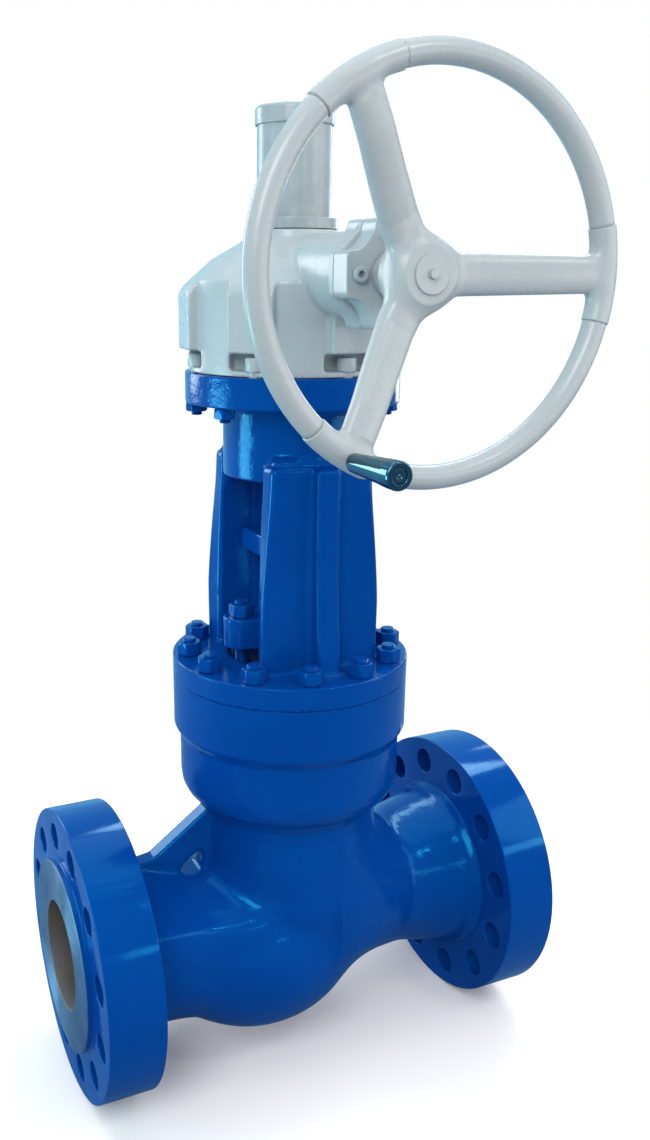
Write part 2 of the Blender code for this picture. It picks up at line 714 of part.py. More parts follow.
def make_bonnet():
    """Bonnet plug with its wedge face, neck, top boss and stuffing box."""
    plug = BONNET_BORE - CLEARANCE
    bore = STEM_RADIUS + CLEARANCE
    bonnet = turned("bonnet", [
        (bore, BONNET_BOTTOM), (plug, BONNET_BOTTOM), (plug, BONNET_SHOULDER),
        (BONNET_NECK_RADIUS, BONNET_SHOULDER + BONNET_WEDGE_HEIGHT),
        (BONNET_NECK_RADIUS, BONNET_TOP_SHOULDER), (BONNET_TOP_RADIUS, BONNET_TOP_SHOULDER),
        (BONNET_TOP_RADIUS, BONNET_TOP), (STUFFING_BOX_RADIUS, BONNET_TOP),
        (STUFFING_BOX_RADIUS, STUFFING_BOX_BOTTOM), (bore, STUFFING_BOX_BOTTOM),
    ], BARE_STEEL, steps=LARGE_STEPS)
    places = [(-GLAND_BOLT_OFFSET, 0), (GLAND_BOLT_OFFSET, 0)]
    # The studs enter the top shoulder just inside its edge, so their holes are open notches there
    cut(bonnet, rods("gland_stud_holes", places, GLAND_STUD_RADIUS + CLEARANCE,
                     BONNET_TOP_SHOULDER - 0.022, BONNET_TOP_SHOULDER + 0.01, HOLE_SIDES))
    return bonnet


def make_seal_rings():
    """Wedge gasket, spacer ring and the retaining ring in segments."""
    outer = BONNET_BORE - CLEARANCE
    inner = BONNET_NECK_RADIUS + CLEARANCE
    run = outer - BONNET_NECK_RADIUS
    lift = CLEARANCE * math.hypot(run, BONNET_WEDGE_HEIGHT) / run
    slope = BONNET_WEDGE_HEIGHT / run
    low_outer = BONNET_SHOULDER + lift
    turned("pressure_seal_gasket", [
        (outer, low_outer), (outer, GASKET_TOP), (inner, GASKET_TOP), (inner, low_outer + slope * (outer - inner)),
    ], TRIM_STEEL, steps=LARGE_STEPS)
    ring("spacer_ring", inner, outer, GASKET_TOP + CLEARANCE, RETAINER_BOTTOM, BARE_STEEL, steps=LARGE_STEPS)
    ring_outer = RETAINER_GROOVE_RADIUS * math.cos(math.pi / LARGE_STEPS) - CLEARANCE
    gap = math.degrees(CLEARANCE / RETAINER_INNER_RADIUS)
    span = 360 / RETAINER_SEGMENTS
    for i, name in enumerate(numbered("retaining_segment", RETAINER_SEGMENTS)):
        start = span * i + gap
        end = span * (i + 1) - gap
        outline = arc((0, 0), ring_outer, start, end, 12)
        outline += arc((0, 0), RETAINER_INNER_RADIUS, end, start, 12)
        low = RETAINER_BOTTOM + CLEARANCE
        extruded(name, outline, low, low + RETAINER_HEIGHT - 2 * CLEARANCE, BARE_STEEL)


def make_packing():
    """Packing column with a groove between its rings."""
    inner = STEM_RADIUS + CLEARANCE
    outer = STUFFING_BOX_RADIUS - CLEARANCE
    bottom = STUFFING_BOX_BOTTOM + CLEARANCE
    pitch = (PACKING_TOP - bottom) / PACKING_RINGS
    groove = 0.0015
    profile = [(inner, bottom), (outer, bottom)]
    for i in range(1, PACKING_RINGS):
        seam = bottom + pitch * i
        profile += [(outer, seam - groove), (outer - groove, seam), (outer, seam + groove)]
    profile += [(outer, PACKING_TOP), (inner, PACKING_TOP)]
    return turned("packing", profile, GRAPHITE)


def make_gland():
    """Gland follower between the packing and the gland flange."""
    inner = STEM_RADIUS + CLEARANCE
    outer = STUFFING_BOX_RADIUS - CLEARANCE
    bottom = PACKING_TOP + CLEARANCE
    return turned("gland", [
        (inner, bottom), (outer, bottom), (outer, BONNET_TOP + 0.008), (outer + 0.005, BONNET_TOP + 0.012),
        (outer + 0.005, GLAND_TOP), (inner, GLAND_TOP),
    ], TRIM_STEEL)


def make_gland_flange():
    """Thick oval gland flange with two stud holes."""
    reach = GLAND_BOLT_OFFSET
    lean = math.degrees(math.asin((GLAND_CENTRE_RADIUS - GLAND_EAR_RADIUS) / reach))
    outline = arc((reach, 0), GLAND_EAR_RADIUS, lean - 90, 90 - lean, 11)
    outline += arc((0, 0), GLAND_CENTRE_RADIUS, 90 - lean, 90 + lean, 3)
    outline += arc((-reach, 0), GLAND_EAR_RADIUS, 90 + lean, 270 - lean, 11)
    outline += arc((0, 0), GLAND_CENTRE_RADIUS, 270 - lean, 270 + lean, 3)
    bottom = GLAND_TOP + CLEARANCE
    flange = extruded("gland_flange", outline, bottom, GLAND_FLANGE_TOP, PAINT_BLUE)
    bevel = flange.modifiers.new("round", "BEVEL")
    bevel.width = 0.003
    bevel.segments = 1
    bevel.limit_method = "ANGLE"
    bevel.angle_limit = math.radians(60)
    cut(flange, rod("gland_flange_bore", STEM_RADIUS + 0.003, bottom - 0.01, GLAND_FLANGE_TOP + 0.01,
                    steps=SMALL_STEPS))
    cut(flange, rods("gland_flange_holes", [(-reach, 0), (reach, 0)], GLAND_STUD_RADIUS + CLEARANCE,
                     bottom - 0.01, GLAND_FLANGE_TOP + 0.01, HOLE_SIDES))
    return flange


def stud_with_nut(name, stud_radius, stud_low, stud_top, nut_width, nut_low, nut_high, finish):
    """One stud with its nut run down on it, about local Z."""
    stud = rods(name, [(0, 0)], stud_radius, stud_low, stud_top, HOLE_SIDES, finish)
    nut = rods(name + "_nut", [(0, 0)], nut_width / math.sqrt(3), nut_low, nut_high, 6)
    join(stud, nut)
    bpy.context.view_layer.update()
    made = bake(stud)
    bpy.data.objects.remove(nut, do_unlink=True)
    return made


def make_gland_bolts():
    """Two studs from the bonnet's shoulder up through the gland flange."""
    nut_low = GLAND_FLANGE_TOP + CLEARANCE
    nut_top = nut_low + GLAND_NUT_HEIGHT
    low = BONNET_TOP_SHOULDER - 0.022 + CLEARANCE
    stud = stud_with_nut("gland_stud_form", GLAND_STUD_RADIUS, low, nut_top + STUD_END,
                         GLAND_NUT_WIDTH, nut_low, nut_top, PAINT_BLUE)
    places = [Matrix.Translation((side * GLAND_BOLT_OFFSET, 0, 0)) for side in (-1, 1)]
    copies(stud, numbered("gland_stud", 2), places)


# Yoke

def leg_section(height, half_width):
    """Section of the leg on the +Y side at one height: inner guide face, splayed sides, outer rib."""
    low, high = LEG_STATIONS[0][0], LEG_STATIONS[-1][0]
    share = (height - low) / (high - low)
    rib = LEG_RIB_FOOT + (LEG_RIB_TOP - LEG_RIB_FOOT) * min(1, 2 * share) ** 0.7
    inner = half_width - LEG_SPLAY
    guide = LEG_GUIDE_HALF_WIDTH
    edge = LEG_RIB_HALF_WIDTH
    half = [(guide, LEG_GUIDE_FACE), (guide + 0.001, LEG_INNER_FACE), (inner, LEG_INNER_FACE),
            (half_width, LEG_OUTER_FACE - 0.010), (half_width - 0.008, LEG_OUTER_FACE),
            (edge + 0.009, LEG_OUTER_FACE), (edge, rib)]
    mirrored = [(-x, y) for x, y in reversed(half)]
    return [(x, y, height) for x, y in half + mirrored]


def make_yoke():
    """Yoke casting: base flange with its well, two ribbed legs, collar and top plate."""
    shelf = BASE_FLANGE_TOP - WELL_DEPTH
    bore = BONNET_TOP_RADIUS + CLEARANCE
    yoke = turned("yoke", [
        (bore, BASE_FLANGE_BOTTOM), (NECK_RADIUS, BASE_FLANGE_BOTTOM), (NECK_RADIUS, BASE_FLANGE_TOP),
        (WELL_RADIUS, BASE_FLANGE_TOP), (WELL_RADIUS, shelf), (bore, shelf),
    ], PAINT_BLUE, steps=LARGE_STEPS)
    studs = circle_places(BONNET_STUD_CIRCLE, BONNET_STUD_COUNT, 180 / BONNET_STUD_COUNT)
    cut(yoke, rods("yoke_stud_holes", studs, BONNET_STUD_RADIUS + CLEARANCE, BASE_FLANGE_BOTTOM - 0.01,
                   BASE_FLANGE_TOP + 0.01, HOLE_SIDES))
    gland = [(-GLAND_BOLT_OFFSET, 0), (GLAND_BOLT_OFFSET, 0)]
    cut(yoke, rods("yoke_gland_holes", gland, GLAND_STUD_RADIUS + CLEARANCE, BASE_FLANGE_BOTTOM - 0.01,
                   shelf + 0.01, HOLE_SIDES))
    sections = [leg_section(height, width) for height, width in LEG_STATIONS]
    leg = loft("leg", sections)
    mirror = leg.modifiers.new("other_leg", "MIRROR")
    mirror.use_axis = (False, True, False)
    mirror.merge_threshold = 0.00001
    head = turned("yoke_head", [
        (COLLAR_BORE_RADIUS, COLLAR_BOTTOM + 0.020), (COLLAR_BORE_RADIUS + 0.030, COLLAR_BOTTOM),
        (COLLAR_RADIUS, COLLAR_BOTTOM), (COLLAR_RADIUS, PLATE_BOTTOM - 0.008),
        (COLLAR_RADIUS + 0.008, PLATE_BOTTOM), (PLATE_RADIUS, PLATE_BOTTOM), (PLATE_RADIUS, PLATE_TOP),
        (BEARING_POCKET_RADIUS, PLATE_TOP), (BEARING_POCKET_RADIUS, LOWER_BEARING_HEIGHT - ROLLER_RADIUS - CLEARANCE),
        (COLLAR_BORE_RADIUS, LOWER_BEARING_HEIGHT - ROLLER_RADIUS - CLEARANCE),
    ], steps=LARGE_STEPS)
    join(leg, head)
    join(yoke, leg)
    blind, through, plate_studs = split_rings()
    cut(yoke, rods("plate_stud_holes", plate_studs, PLATE_STUD_RADIUS + CLEARANCE,
                   PLATE_BOTTOM - 0.01, PLATE_TOP + 0.01, HOLE_SIDES))
    cut(yoke, rods("through_bolt_holes", through, SCREW_RADIUS + CLEARANCE, PLATE_BOTTOM - 0.01,
                   PLATE_TOP + 0.01, HOLE_SIDES))
    cut(yoke, rods("plate_screw_holes", blind, SCREW_RADIUS + CLEARANCE, PLATE_TOP - SCREW_LENGTH,
                   PLATE_TOP + 0.01, HOLE_SIDES))
    return yoke


def make_bonnet_studs():
    """Studs with nuts that hold the yoke down on the body neck."""
    nut_low = BASE_FLANGE_TOP + CLEARANCE
    nut_top = nut_low + BONNET_NUT_HEIGHT
    low = NECK_HEIGHT - BONNET_STUD_DEPTH
    stud = stud_with_nut("bonnet_stud_form", BONNET_STUD_RADIUS, low, nut_top + STUD_END,
                         BONNET_NUT_WIDTH, nut_low, nut_top, PAINT_BLUE)
    places = circle_places(BONNET_STUD_CIRCLE, BONNET_STUD_COUNT, 180 / BONNET_STUD_COUNT)
    copies(stud, numbered("bonnet_stud", BONNET_STUD_COUNT), [Matrix.Translation((x, y, 0)) for x, y in places])


def make_stem_guide():
    """Anti-rotation block clamped on the stem, with a slot over the guide face of each leg."""
    reach = LEG_INNER_FACE - 0.002
    slot = LEG_GUIDE_HALF_WIDTH + 0.001 + CLEARANCE
    face = LEG_GUIDE_FACE - CLEARANCE
    wide = GUIDE_HALF_WIDTH
    corner = 0.006
    half = [(wide, 0), (wide, reach - corner), (wide - corner, reach), (slot, reach), (slot, face)]
    quarter_turn = [(-x, y) for x, y in reversed(half[:])]
    upper = half + quarter_turn
    lower = [(-x, -y) for x, y in upper if y != 0]
    outline = upper + lower
    top = GUIDE_BOTTOM + GUIDE_HEIGHT
    block = extruded("stem_guide", outline, GUIDE_BOTTOM, top, PAINT_BLUE)
    cut(block, rod("stem_guide_bore", STEM_RADIUS + CLEARANCE, GUIDE_BOTTOM - 0.01, top + 0.01))
    return block


# Gearbox

def screw_places():
    """Where the column screws stand."""
    return circle_places(SCREW_CIRCLE, COLUMN_COUNT, COLUMN_START_DEG)


def split_rings():
    """Split the two bolt rings into (blind screws, through bolts, studs).

    Where a screw of the upper ring and a stud of the lower ring would stand in each other's way,
    the screw goes right through to the nut and takes the stud's place.
    """
    screws = screw_places()
    ring_places = circle_places(PLATE_STUD_CIRCLE, PLATE_STUD_COUNT, PLATE_STUD_START_DEG)
    near = THROUGH_BOLT_REACH
    studs = [stud for stud in ring_places if all(math.dist(stud, screw) > near for screw in screws)]
    through = [screw for screw in screws if any(math.dist(stud, screw) <= near for stud in ring_places)]
    blind = [screw for screw in screws if screw not in through]
    return blind, through, studs


def make_gearbox_housing():
    """Housing shell: round wall with flat-faced columns, conical roof, input horn, screw pockets."""
    housing = rod("gearbox_housing", HOUSING_WALL_RADIUS, HOUSING_BOTTOM, HOUSING_TOP, PAINT_GREY, steps=LARGE_STEPS)
    turns = [Matrix.Rotation(math.atan2(y, x), 4, "Z") for x, y in screw_places()]
    for i, turn in enumerate(turns):
        low = (0.120, -COLUMN_HALF_WIDTH, POCKET_BOTTOM + POCKET_HEIGHT)
        high = (COLUMN_FACE, COLUMN_HALF_WIDTH, HOUSING_NECK_HEIGHT - 0.030)
        join(housing, box(f"column_{i + 1}", low, high, None, turn))
    slope = (HOUSING_NECK_HEIGHT - ROOF_EDGE_HEIGHT) / (ROOF_EDGE_RADIUS - HOUSING_NECK_RADIUS)
    reach = 0.200
    envelope = turned("roof_envelope", [
        (0, HOUSING_TOP), (HOUSING_NECK_RADIUS - 0.012, HOUSING_TOP), (HOUSING_NECK_RADIUS - 0.008, HOUSING_NECK_HEIGHT),
        (0.128, 1.119), (ROOF_EDGE_RADIUS, ROOF_EDGE_HEIGHT),
        (reach, ROOF_EDGE_HEIGHT - slope * 1.8 * (reach - ROOF_EDGE_RADIUS)),
        (reach, HOUSING_BOTTOM - 0.01), (0, HOUSING_BOTTOM - 0.01),
    ], steps=LARGE_STEPS)
    boolean(housing, envelope, "INTERSECT")
    join(housing, turned("horn", [
        (0, -HORN_END), (HORN_RADIUS, -HORN_END), (HORN_RADIUS, 0.180), (HORN_RADIUS + 0.005, 0.150),
        (HORN_RADIUS, 0.060), (0, 0.060)], None, INPUT_AXIS, MEDIUM_STEPS))
    pocket = BEARING_POCKET_RADIUS
    cut(housing, turned("gear_cavity", [
        (0, HOUSING_TOP + 0.01), (NUT_RADIUS - 0.003, HOUSING_TOP + 0.01), (NUT_RADIUS - 0.003, UPPER_POCKET_ROOF),
        (pocket, UPPER_POCKET_ROOF), (pocket, 1.126), (0.100, 1.112), (HOUSING_CAVITY_RADIUS, 1.074),
        (HOUSING_CAVITY_RADIUS, 1.004), (LOWER_CAVITY_RADIUS, 0.992),
        (LOWER_CAVITY_RADIUS, HOUSING_BOTTOM - 0.01), (0, HOUSING_BOTTOM - 0.01)], steps=MEDIUM_STEPS))
    cut(housing, turned("horn_bore", [
        (0, -HORN_END + 0.01), (HORN_BORE_RADIUS, -HORN_END + 0.01), (HORN_BORE_RADIUS, 0.148),
        (0.047, 0.146), (0.047, 0.078), (0, 0.078)], None, INPUT_AXIS, SMALL_STEPS))
    for i, turn in enumerate(turns):
        inner = SCREW_CIRCLE - SCREW_HEAD_RADIUS - 0.002
        low = (inner, -POCKET_HALF_WIDTH, POCKET_BOTTOM)
        high = (0.210, POCKET_HALF_WIDTH, POCKET_BOTTOM + POCKET_HEIGHT)
        cut(housing, box(f"screw_pocket_{i + 1}", low, high, None, turn))
    cut(housing, rods("housing_screw_holes", screw_places(), SCREW_RADIUS + CLEARANCE,
                      HOUSING_BOTTOM - 0.01, POCKET_BOTTOM + 0.001, HOLE_SIDES))
    studs = split_rings()[2]
    cut(housing, rods("housing_stud_holes", studs, PLATE_STUD_RADIUS + CLEARANCE,
                      HOUSING_BOTTOM - 0.01, HOUSING_BOTTOM + PLATE_STUD_GRIP + CLEARANCE, HOLE_SIDES))
    return housing


def socket_screw(name, shank_low, nut):
    """One socket-head screw about local Z, down to a height, with a nut (low, top) when it has one."""
    head_low = POCKET_BOTTOM + CLEARANCE
    screw = rods(name, [(0, 0)], SCREW_HEAD_RADIUS, head_low, head_low + SCREW_HEAD_HEIGHT, 12, PAINT_GREY)
    tools = [rods(name + "_shank", [(0, 0)], SCREW_RADIUS, shank_low, head_low + 0.004, HOLE_SIDES)]
    if nut:
        tools.append(rods(name + "_nut", [(0, 0)], PLATE_NUT_WIDTH / math.sqrt(3), nut[0], nut[1], 6))
    for tool in tools:
        join(screw, tool)
    bpy.context.view_layer.update()
    screw = bake(screw)
    for tool in tools:
        bpy.data.objects.remove(tool, do_unlink=True)
    return screw


def make_gearbox_fasteners():
    """Socket screws in the housing's pockets, through bolts, and studs with nuts under the yoke plate."""
    nut_top = PLATE_BOTTOM - CLEARANCE
    nut_low = nut_top - PLATE_NUT_HEIGHT
    blind, through, studs = split_rings()
    screw = socket_screw("screw_form", PLATE_TOP - SCREW_LENGTH + CLEARANCE, None)
    copies(screw, numbered("gearbox_screw", len(blind)), [Matrix.Translation((x, y, 0)) for x, y in blind])
    bolt = socket_screw("through_bolt_form", nut_low - STUD_END, (nut_low, nut_top))
    copies(bolt, numbered("gearbox_through_bolt", len(through)), [Matrix.Translation((x, y, 0)) for x, y in through])
    stud = stud_with_nut("plate_stud_form", PLATE_STUD_RADIUS, nut_low - STUD_END, HOUSING_BOTTOM + PLATE_STUD_GRIP,
                         PLATE_NUT_WIDTH, nut_low, nut_top, PAINT_BLUE)
    copies(stud, numbered("plate_stud", len(studs)), [Matrix.Translation((x, y, 0)) for x, y in studs])


def make_input_cover():
    """Four-lobed cover on the end of the horn, with its spigot and shaft bore."""
    bosses = [(x, y, COVER_LOBE_RADIUS) for x, y in circle_places(COVER_LOBE_CIRCLE, 4)]
    outline = blend_outline(COVER_RADIUS, bosses, 56, 0.003)
    low = -HORN_END + CLEARANCE
    cover = extruded("input_cover", outline, low, low + COVER_THICKNESS, PAINT_GREY, INPUT_AXIS)
    join(cover, rod("cover_spigot", HORN_BORE_RADIUS - CLEARANCE, low - COVER_SPIGOT, low + 0.01, None, INPUT_AXIS,
                    SMALL_STEPS))
    bore = running_bore(PINION_SHAFT_RADIUS, SMALL_STEPS)
    cut(cover, rod("cover_bore", bore, low - 0.05, low + COVER_THICKNESS + 0.01, None, INPUT_AXIS, SMALL_STEPS))
    return cover


def make_input_bush():
    """Long bronze bush that carries the pinion shaft in the horn."""
    low = 0.148 + CLEARANCE
    high = -HORN_END + CLEARANCE - COVER_SPIGOT - CLEARANCE
    bore = running_bore(PINION_SHAFT_RADIUS, SMALL_STEPS)
    return ring("input_bush", bore, HORN_BORE_RADIUS - CLEARANCE, low, high, BRONZE, INPUT_AXIS, SMALL_STEPS)


# Bevel gears

def tooth_section(teeth, other_teeth):
    """Outline of one tooth on the back cone: (height above the pitch cone, angle about the axis).

    The flanks are involutes of the virtual spur gear, thinned by the backlash.
    """
    cone = math.atan2(teeth, other_teeth)
    pitch = MODULE * teeth / 2
    virtual = pitch / math.cos(cone)
    base = virtual * math.cos(math.radians(PRESSURE_ANGLE_DEG))
    pressure = math.radians(PRESSURE_ANGLE_DEG)
    involute = math.tan(pressure) - pressure
    half_tooth = math.pi * MODULE / 4 - BACKLASH / 2
    flank = []
    for height in (-DEDENDUM * MODULE - 0.0012, 0.0, ADDENDUM * MODULE):
        reach = virtual + height
        inner = min(1.0, base / reach)
        here = math.acos(inner)
        angle = half_tooth / virtual + involute - (math.tan(here) - here)
        flank.append((height, angle / math.cos(cone)))
    return flank


def tooth_ring(name, teeth, other_teeth, start_deg, finish=None, matrix=None):
    """All teeth of one bevel gear in one mesh, as tapered wedges that point at the apex.

    Local Z runs from the apex to the gear's back, and the apex is the local origin.
    """
    cone = math.atan2(teeth, other_teeth)
    pitch = MODULE * teeth / 2
    distance = pitch / math.sin(cone)
    shrink = 1 - FACE_WIDTH / distance
    flank = tooth_section(teeth, other_teeth)
    outline = flank + [(height, -angle) for height, angle in reversed(flank)]
    work = bmesh.new()
    for i in range(teeth):
        middle = math.radians(start_deg + 360 * i / teeth)
        rows = []
        for scale in (1.0, shrink):
            row = []
            for height, angle in outline:
                radius = (pitch + height * math.cos(cone)) * scale
                depth = (distance * math.cos(cone) - height * math.sin(cone)) * scale
                turn = middle + angle
                row.append(work.verts.new((radius * math.cos(turn), radius * math.sin(turn), depth)))
            rows.append(row)
        outer, inner = rows
        for k in range(len(outline)):
            following = (k + 1) % len(outline)
            work.faces.new((outer[k], outer[following], inner[following], inner[k]))
        work.faces.new(outer[::-1])
        work.faces.new(inner)
    bmesh.ops.recalc_face_normals(work, faces=work.faces)
    mesh = bpy.data.meshes.new(name)
    work.to_mesh(mesh)
    work.free()
    return add_object(name, mesh, finish, matrix)


def root_point(teeth, other_teeth, scale):
    """(radius, distance from the apex along the axis) of the tooth root at a share of the cone."""
    cone = math.atan2(teeth, other_teeth)
    pitch = MODULE * teeth / 2
    height = -DEDENDUM * MODULE
    radius = (pitch + height * math.cos(cone)) * scale
    depth = (pitch / math.tan(cone) - height * math.sin(cone)) * scale
    return radius, depth


def gear_shrink(teeth, other_teeth):
    """Share of the cone at the inner end of the teeth."""
    distance = MODULE * teeth / 2 / math.sin(math.atan2(teeth, other_teeth))
    return 1 - FACE_WIDTH / distance


def make_bevel_gear():
    """Bevel gear on the stem nut: toothed rim, web and long hub between the two thrust bearings."""
    outer_r, outer_d = root_point(GEAR_TEETH, PINION_TEETH, 1.0)
    inner_r, inner_d = root_point(GEAR_TEETH, PINION_TEETH, gear_shrink(GEAR_TEETH, PINION_TEETH))
    apex = INPUT_AXIS_HEIGHT
    bore = NUT_RADIUS + CLEARANCE
    web_top = apex - inner_d - 0.004
    gear = turned("bevel_gear", [
        (bore, HUB_BOTTOM), (GEAR_HUB_RADIUS, HUB_BOTTOM), (GEAR_HUB_RADIUS, apex - outer_d - 0.022),
        (outer_r - 0.004, apex - outer_d - 0.012), (outer_r, apex - outer_d), (inner_r, apex - inner_d),
        (inner_r - 0.006, web_top), (GEAR_HUB_RADIUS, web_top), (GEAR_HUB_RADIUS, HUB_TOP), (bore, HUB_TOP),
    ], TRIM_STEEL, steps=GEAR_TEETH)
    down = Matrix.Translation((0, 0, apex)) @ Matrix.Rotation(math.pi, 4, "X")
    # With local Z down, world angle is minus the local one; a gap faces the pinion at -90 degrees
    start = 90 + 180 / GEAR_TEETH
    join(gear, tooth_ring("gear_teeth", GEAR_TEETH, PINION_TEETH, start, None, down))
    return gear


def make_bevel_pinion():
    """Bevel pinion made in one piece with the input shaft, up to its wheel seat."""
    outer_r, outer_d = root_point(PINION_TEETH, GEAR_TEETH, 1.0)
    inner_r, inner_d = root_point(PINION_TEETH, GEAR_TEETH, gear_shrink(PINION_TEETH, GEAR_TEETH))
    back = outer_d + 0.012
    collar = -HUB_BACK - CLEARANCE
    seat_end = -HUB_FRONT + 0.0002
    pinion = turned("bevel_pinion", [
        (0, inner_d), (inner_r, inner_d), (outer_r, outer_d), (outer_r + 0.001, back),
        (PINION_SHAFT_RADIUS + 0.008, back + 0.004), (PINION_SHAFT_RADIUS + 0.008, 0.148),
        (PINION_SHAFT_RADIUS, 0.148), (PINION_SHAFT_RADIUS, collar), (WHEEL_SHAFT_RADIUS, collar),
        (WHEEL_SHAFT_RADIUS, seat_end), (0, seat_end),
    ], TRIM_STEEL, INPUT_AXIS, PINION_TEETH * 2)
    # A tooth points down at the gear: local -Y of the input axis frame is world -Z
    join(pinion, tooth_ring("pinion_teeth", PINION_TEETH, GEAR_TEETH, -90, None, INPUT_AXIS))
    return pinion


# Stem nut and bearings

def make_stem_nut():
    """Bronze stem nut with its thrust flange."""
    bore = running_bore(STEM_RADIUS, MEDIUM_STEPS)
    flange_top = NUT_BOTTOM + NUT_FLANGE_THICKNESS
    spigot = LOWER_BEARING_HEIGHT - ROLLER_RADIUS + CLEARANCE
    upper = NUT_RADIUS - 0.004
    return turned("stem_nut", [
        (bore, spigot), (NUT_SPIGOT_RADIUS, spigot), (NUT_SPIGOT_RADIUS, NUT_BOTTOM), (NUT_FLANGE_RADIUS, NUT_BOTTOM),
        (NUT_FLANGE_RADIUS, flange_top), (NUT_RADIUS, flange_top), (NUT_RADIUS, HUB_TOP - 0.001),
        (upper, HUB_TOP + 0.003), (upper, HOUSING_TOP - 0.010), (bore, HOUSING_TOP - 0.010),
    ], BRONZE, steps=MEDIUM_STEPS)


def make_roller_cage(name, height):
    """Thrust bearing cage with its radial rollers in one piece."""
    cage = ring(name, CAGE_INNER_RADIUS, CAGE_OUTER_RADIUS, height - CAGE_HALF_THICKNESS,
                height + CAGE_HALF_THICKNESS, TRIM_STEEL, steps=MEDIUM_STEPS)
    work = bmesh.new()
    middle = (CAGE_INNER_RADIUS + CAGE_OUTER_RADIUS) / 2
    length = CAGE_OUTER_RADIUS - CAGE_INNER_RADIUS - 0.009
    for i in range(ROLLER_COUNT):
        turn = Matrix.Rotation(2 * math.pi * i / ROLLER_COUNT, 4, "Z")
        place = Matrix.Translation((middle, 0, height)) @ ALONG_X
        flat = Matrix.Rotation(math.pi / ROLLER_SIDES, 4, "Z")
        bmesh.ops.create_cone(work, cap_ends=True, segments=ROLLER_SIDES, radius1=ROLLER_RADIUS,
                              radius2=ROLLER_RADIUS, depth=length, matrix=turn @ place @ flat)
    mesh = bpy.data.meshes.new(name + "_rollers")
    work.to_mesh(mesh)
    work.free()
    join(cage, add_object(name + "_rollers", mesh))
    return cage


# Stem cover

def make_stem_cover():
    """Tube over the rising stem, with its lower collar, and the cap on its top."""
    inner = COVER_TUBE_RADIUS - COVER_TUBE_WALL
    low = HOUSING_TOP + CLEARANCE
    collar = low + COVER_COLLAR_HEIGHT
    turned("stem_cover_tube", [
        (inner, low), (COVER_COLLAR_RADIUS, low), (COVER_COLLAR_RADIUS, collar), (COVER_TUBE_RADIUS, collar),
        (COVER_TUBE_RADIUS, COVER_TUBE_TOP), (inner, COVER_TUBE_TOP),
    ], PAINT_GREY)
    wall = COVER_TUBE_RADIUS + CLEARANCE
    turned("stem_cover_cap", [
        (0, CAP_TOP), (CAP_RADIUS - 0.022, CAP_TOP), (CAP_RADIUS - 0.003, CAP_TOP - 0.004),
        (CAP_RADIUS, CAP_TOP - 0.008), (CAP_RADIUS, CAP_TOP - CAP_SKIRT), (wall, CAP_TOP - CAP_SKIRT),
        (wall, COVER_TUBE_TOP + CLEARANCE), (0, COVER_TUBE_TOP + CLEARANCE),
    ], PAINT_GREY)


# Handwheel

def wheel_point(radius, degrees, depth):
    """World point from polar place in the wheel's plane, seen from the front, and its Y."""
    turn = math.radians(degrees)
    return (radius * math.cos(turn), depth, INPUT_AXIS_HEIGHT + radius * math.sin(turn))


def rim_arc(start_deg, end_deg, count):
    """Points of the rim's centre line between two angles."""
    step = (end_deg - start_deg) / (count - 1)
    return [wheel_point(RIM_RADIUS, start_deg + step * i, RIM_PLANE) for i in range(count)]


def spoke_section(radius, depth, width, thickness):
    """Rounded flat section of a spoke that runs along +X, flatter on its back."""
    half = width / 2
    front = thickness * 0.6
    back = thickness * 0.4
    shape = [(half, 0.0), (half * 0.78, front * 0.72), (half * 0.36, front), (-half * 0.36, front),
             (-half * 0.78, front * 0.72), (-half, 0.0), (-half * 0.70, -back), (half * 0.70, -back)]
    return [(radius, depth - forward, aside) for aside, forward in shape]


def make_spoke(name, matrix):
    """One dished spoke from inside the hub out to the rim's centre line."""
    root = HUB_BACK - 0.030
    stations = [(0.030, 0.0), (0.075, 0.10), (0.130, 0.42), (0.185, 0.78), (0.222, 0.96), (RIM_RADIUS, 1.0)]
    sections = []
    for radius, share in stations:
        depth = root + (RIM_PLANE - root) * share
        span = (radius - stations[0][0]) / (RIM_RADIUS - stations[0][0])
        width = SPOKE_ROOT_WIDTH + (SPOKE_TIP_WIDTH - SPOKE_ROOT_WIDTH) * span
        thickness = SPOKE_ROOT_THICKNESS + (SPOKE_TIP_THICKNESS - SPOKE_ROOT_THICKNESS) * span
        sections.append(spoke_section(radius, depth, width, thickness))
    return loft(name, sections, None, matrix)


def handle_matrix():
    """Frame of the spinner handle: its local Z runs out along world -Y from the rim."""
    x, y, z = wheel_point(HANDLE_CIRCLE, HANDLE_SPOKE_DEG, RIM_PLANE)
    return Matrix.Translation((x, y, z)) @ ALONG_MINUS_Y


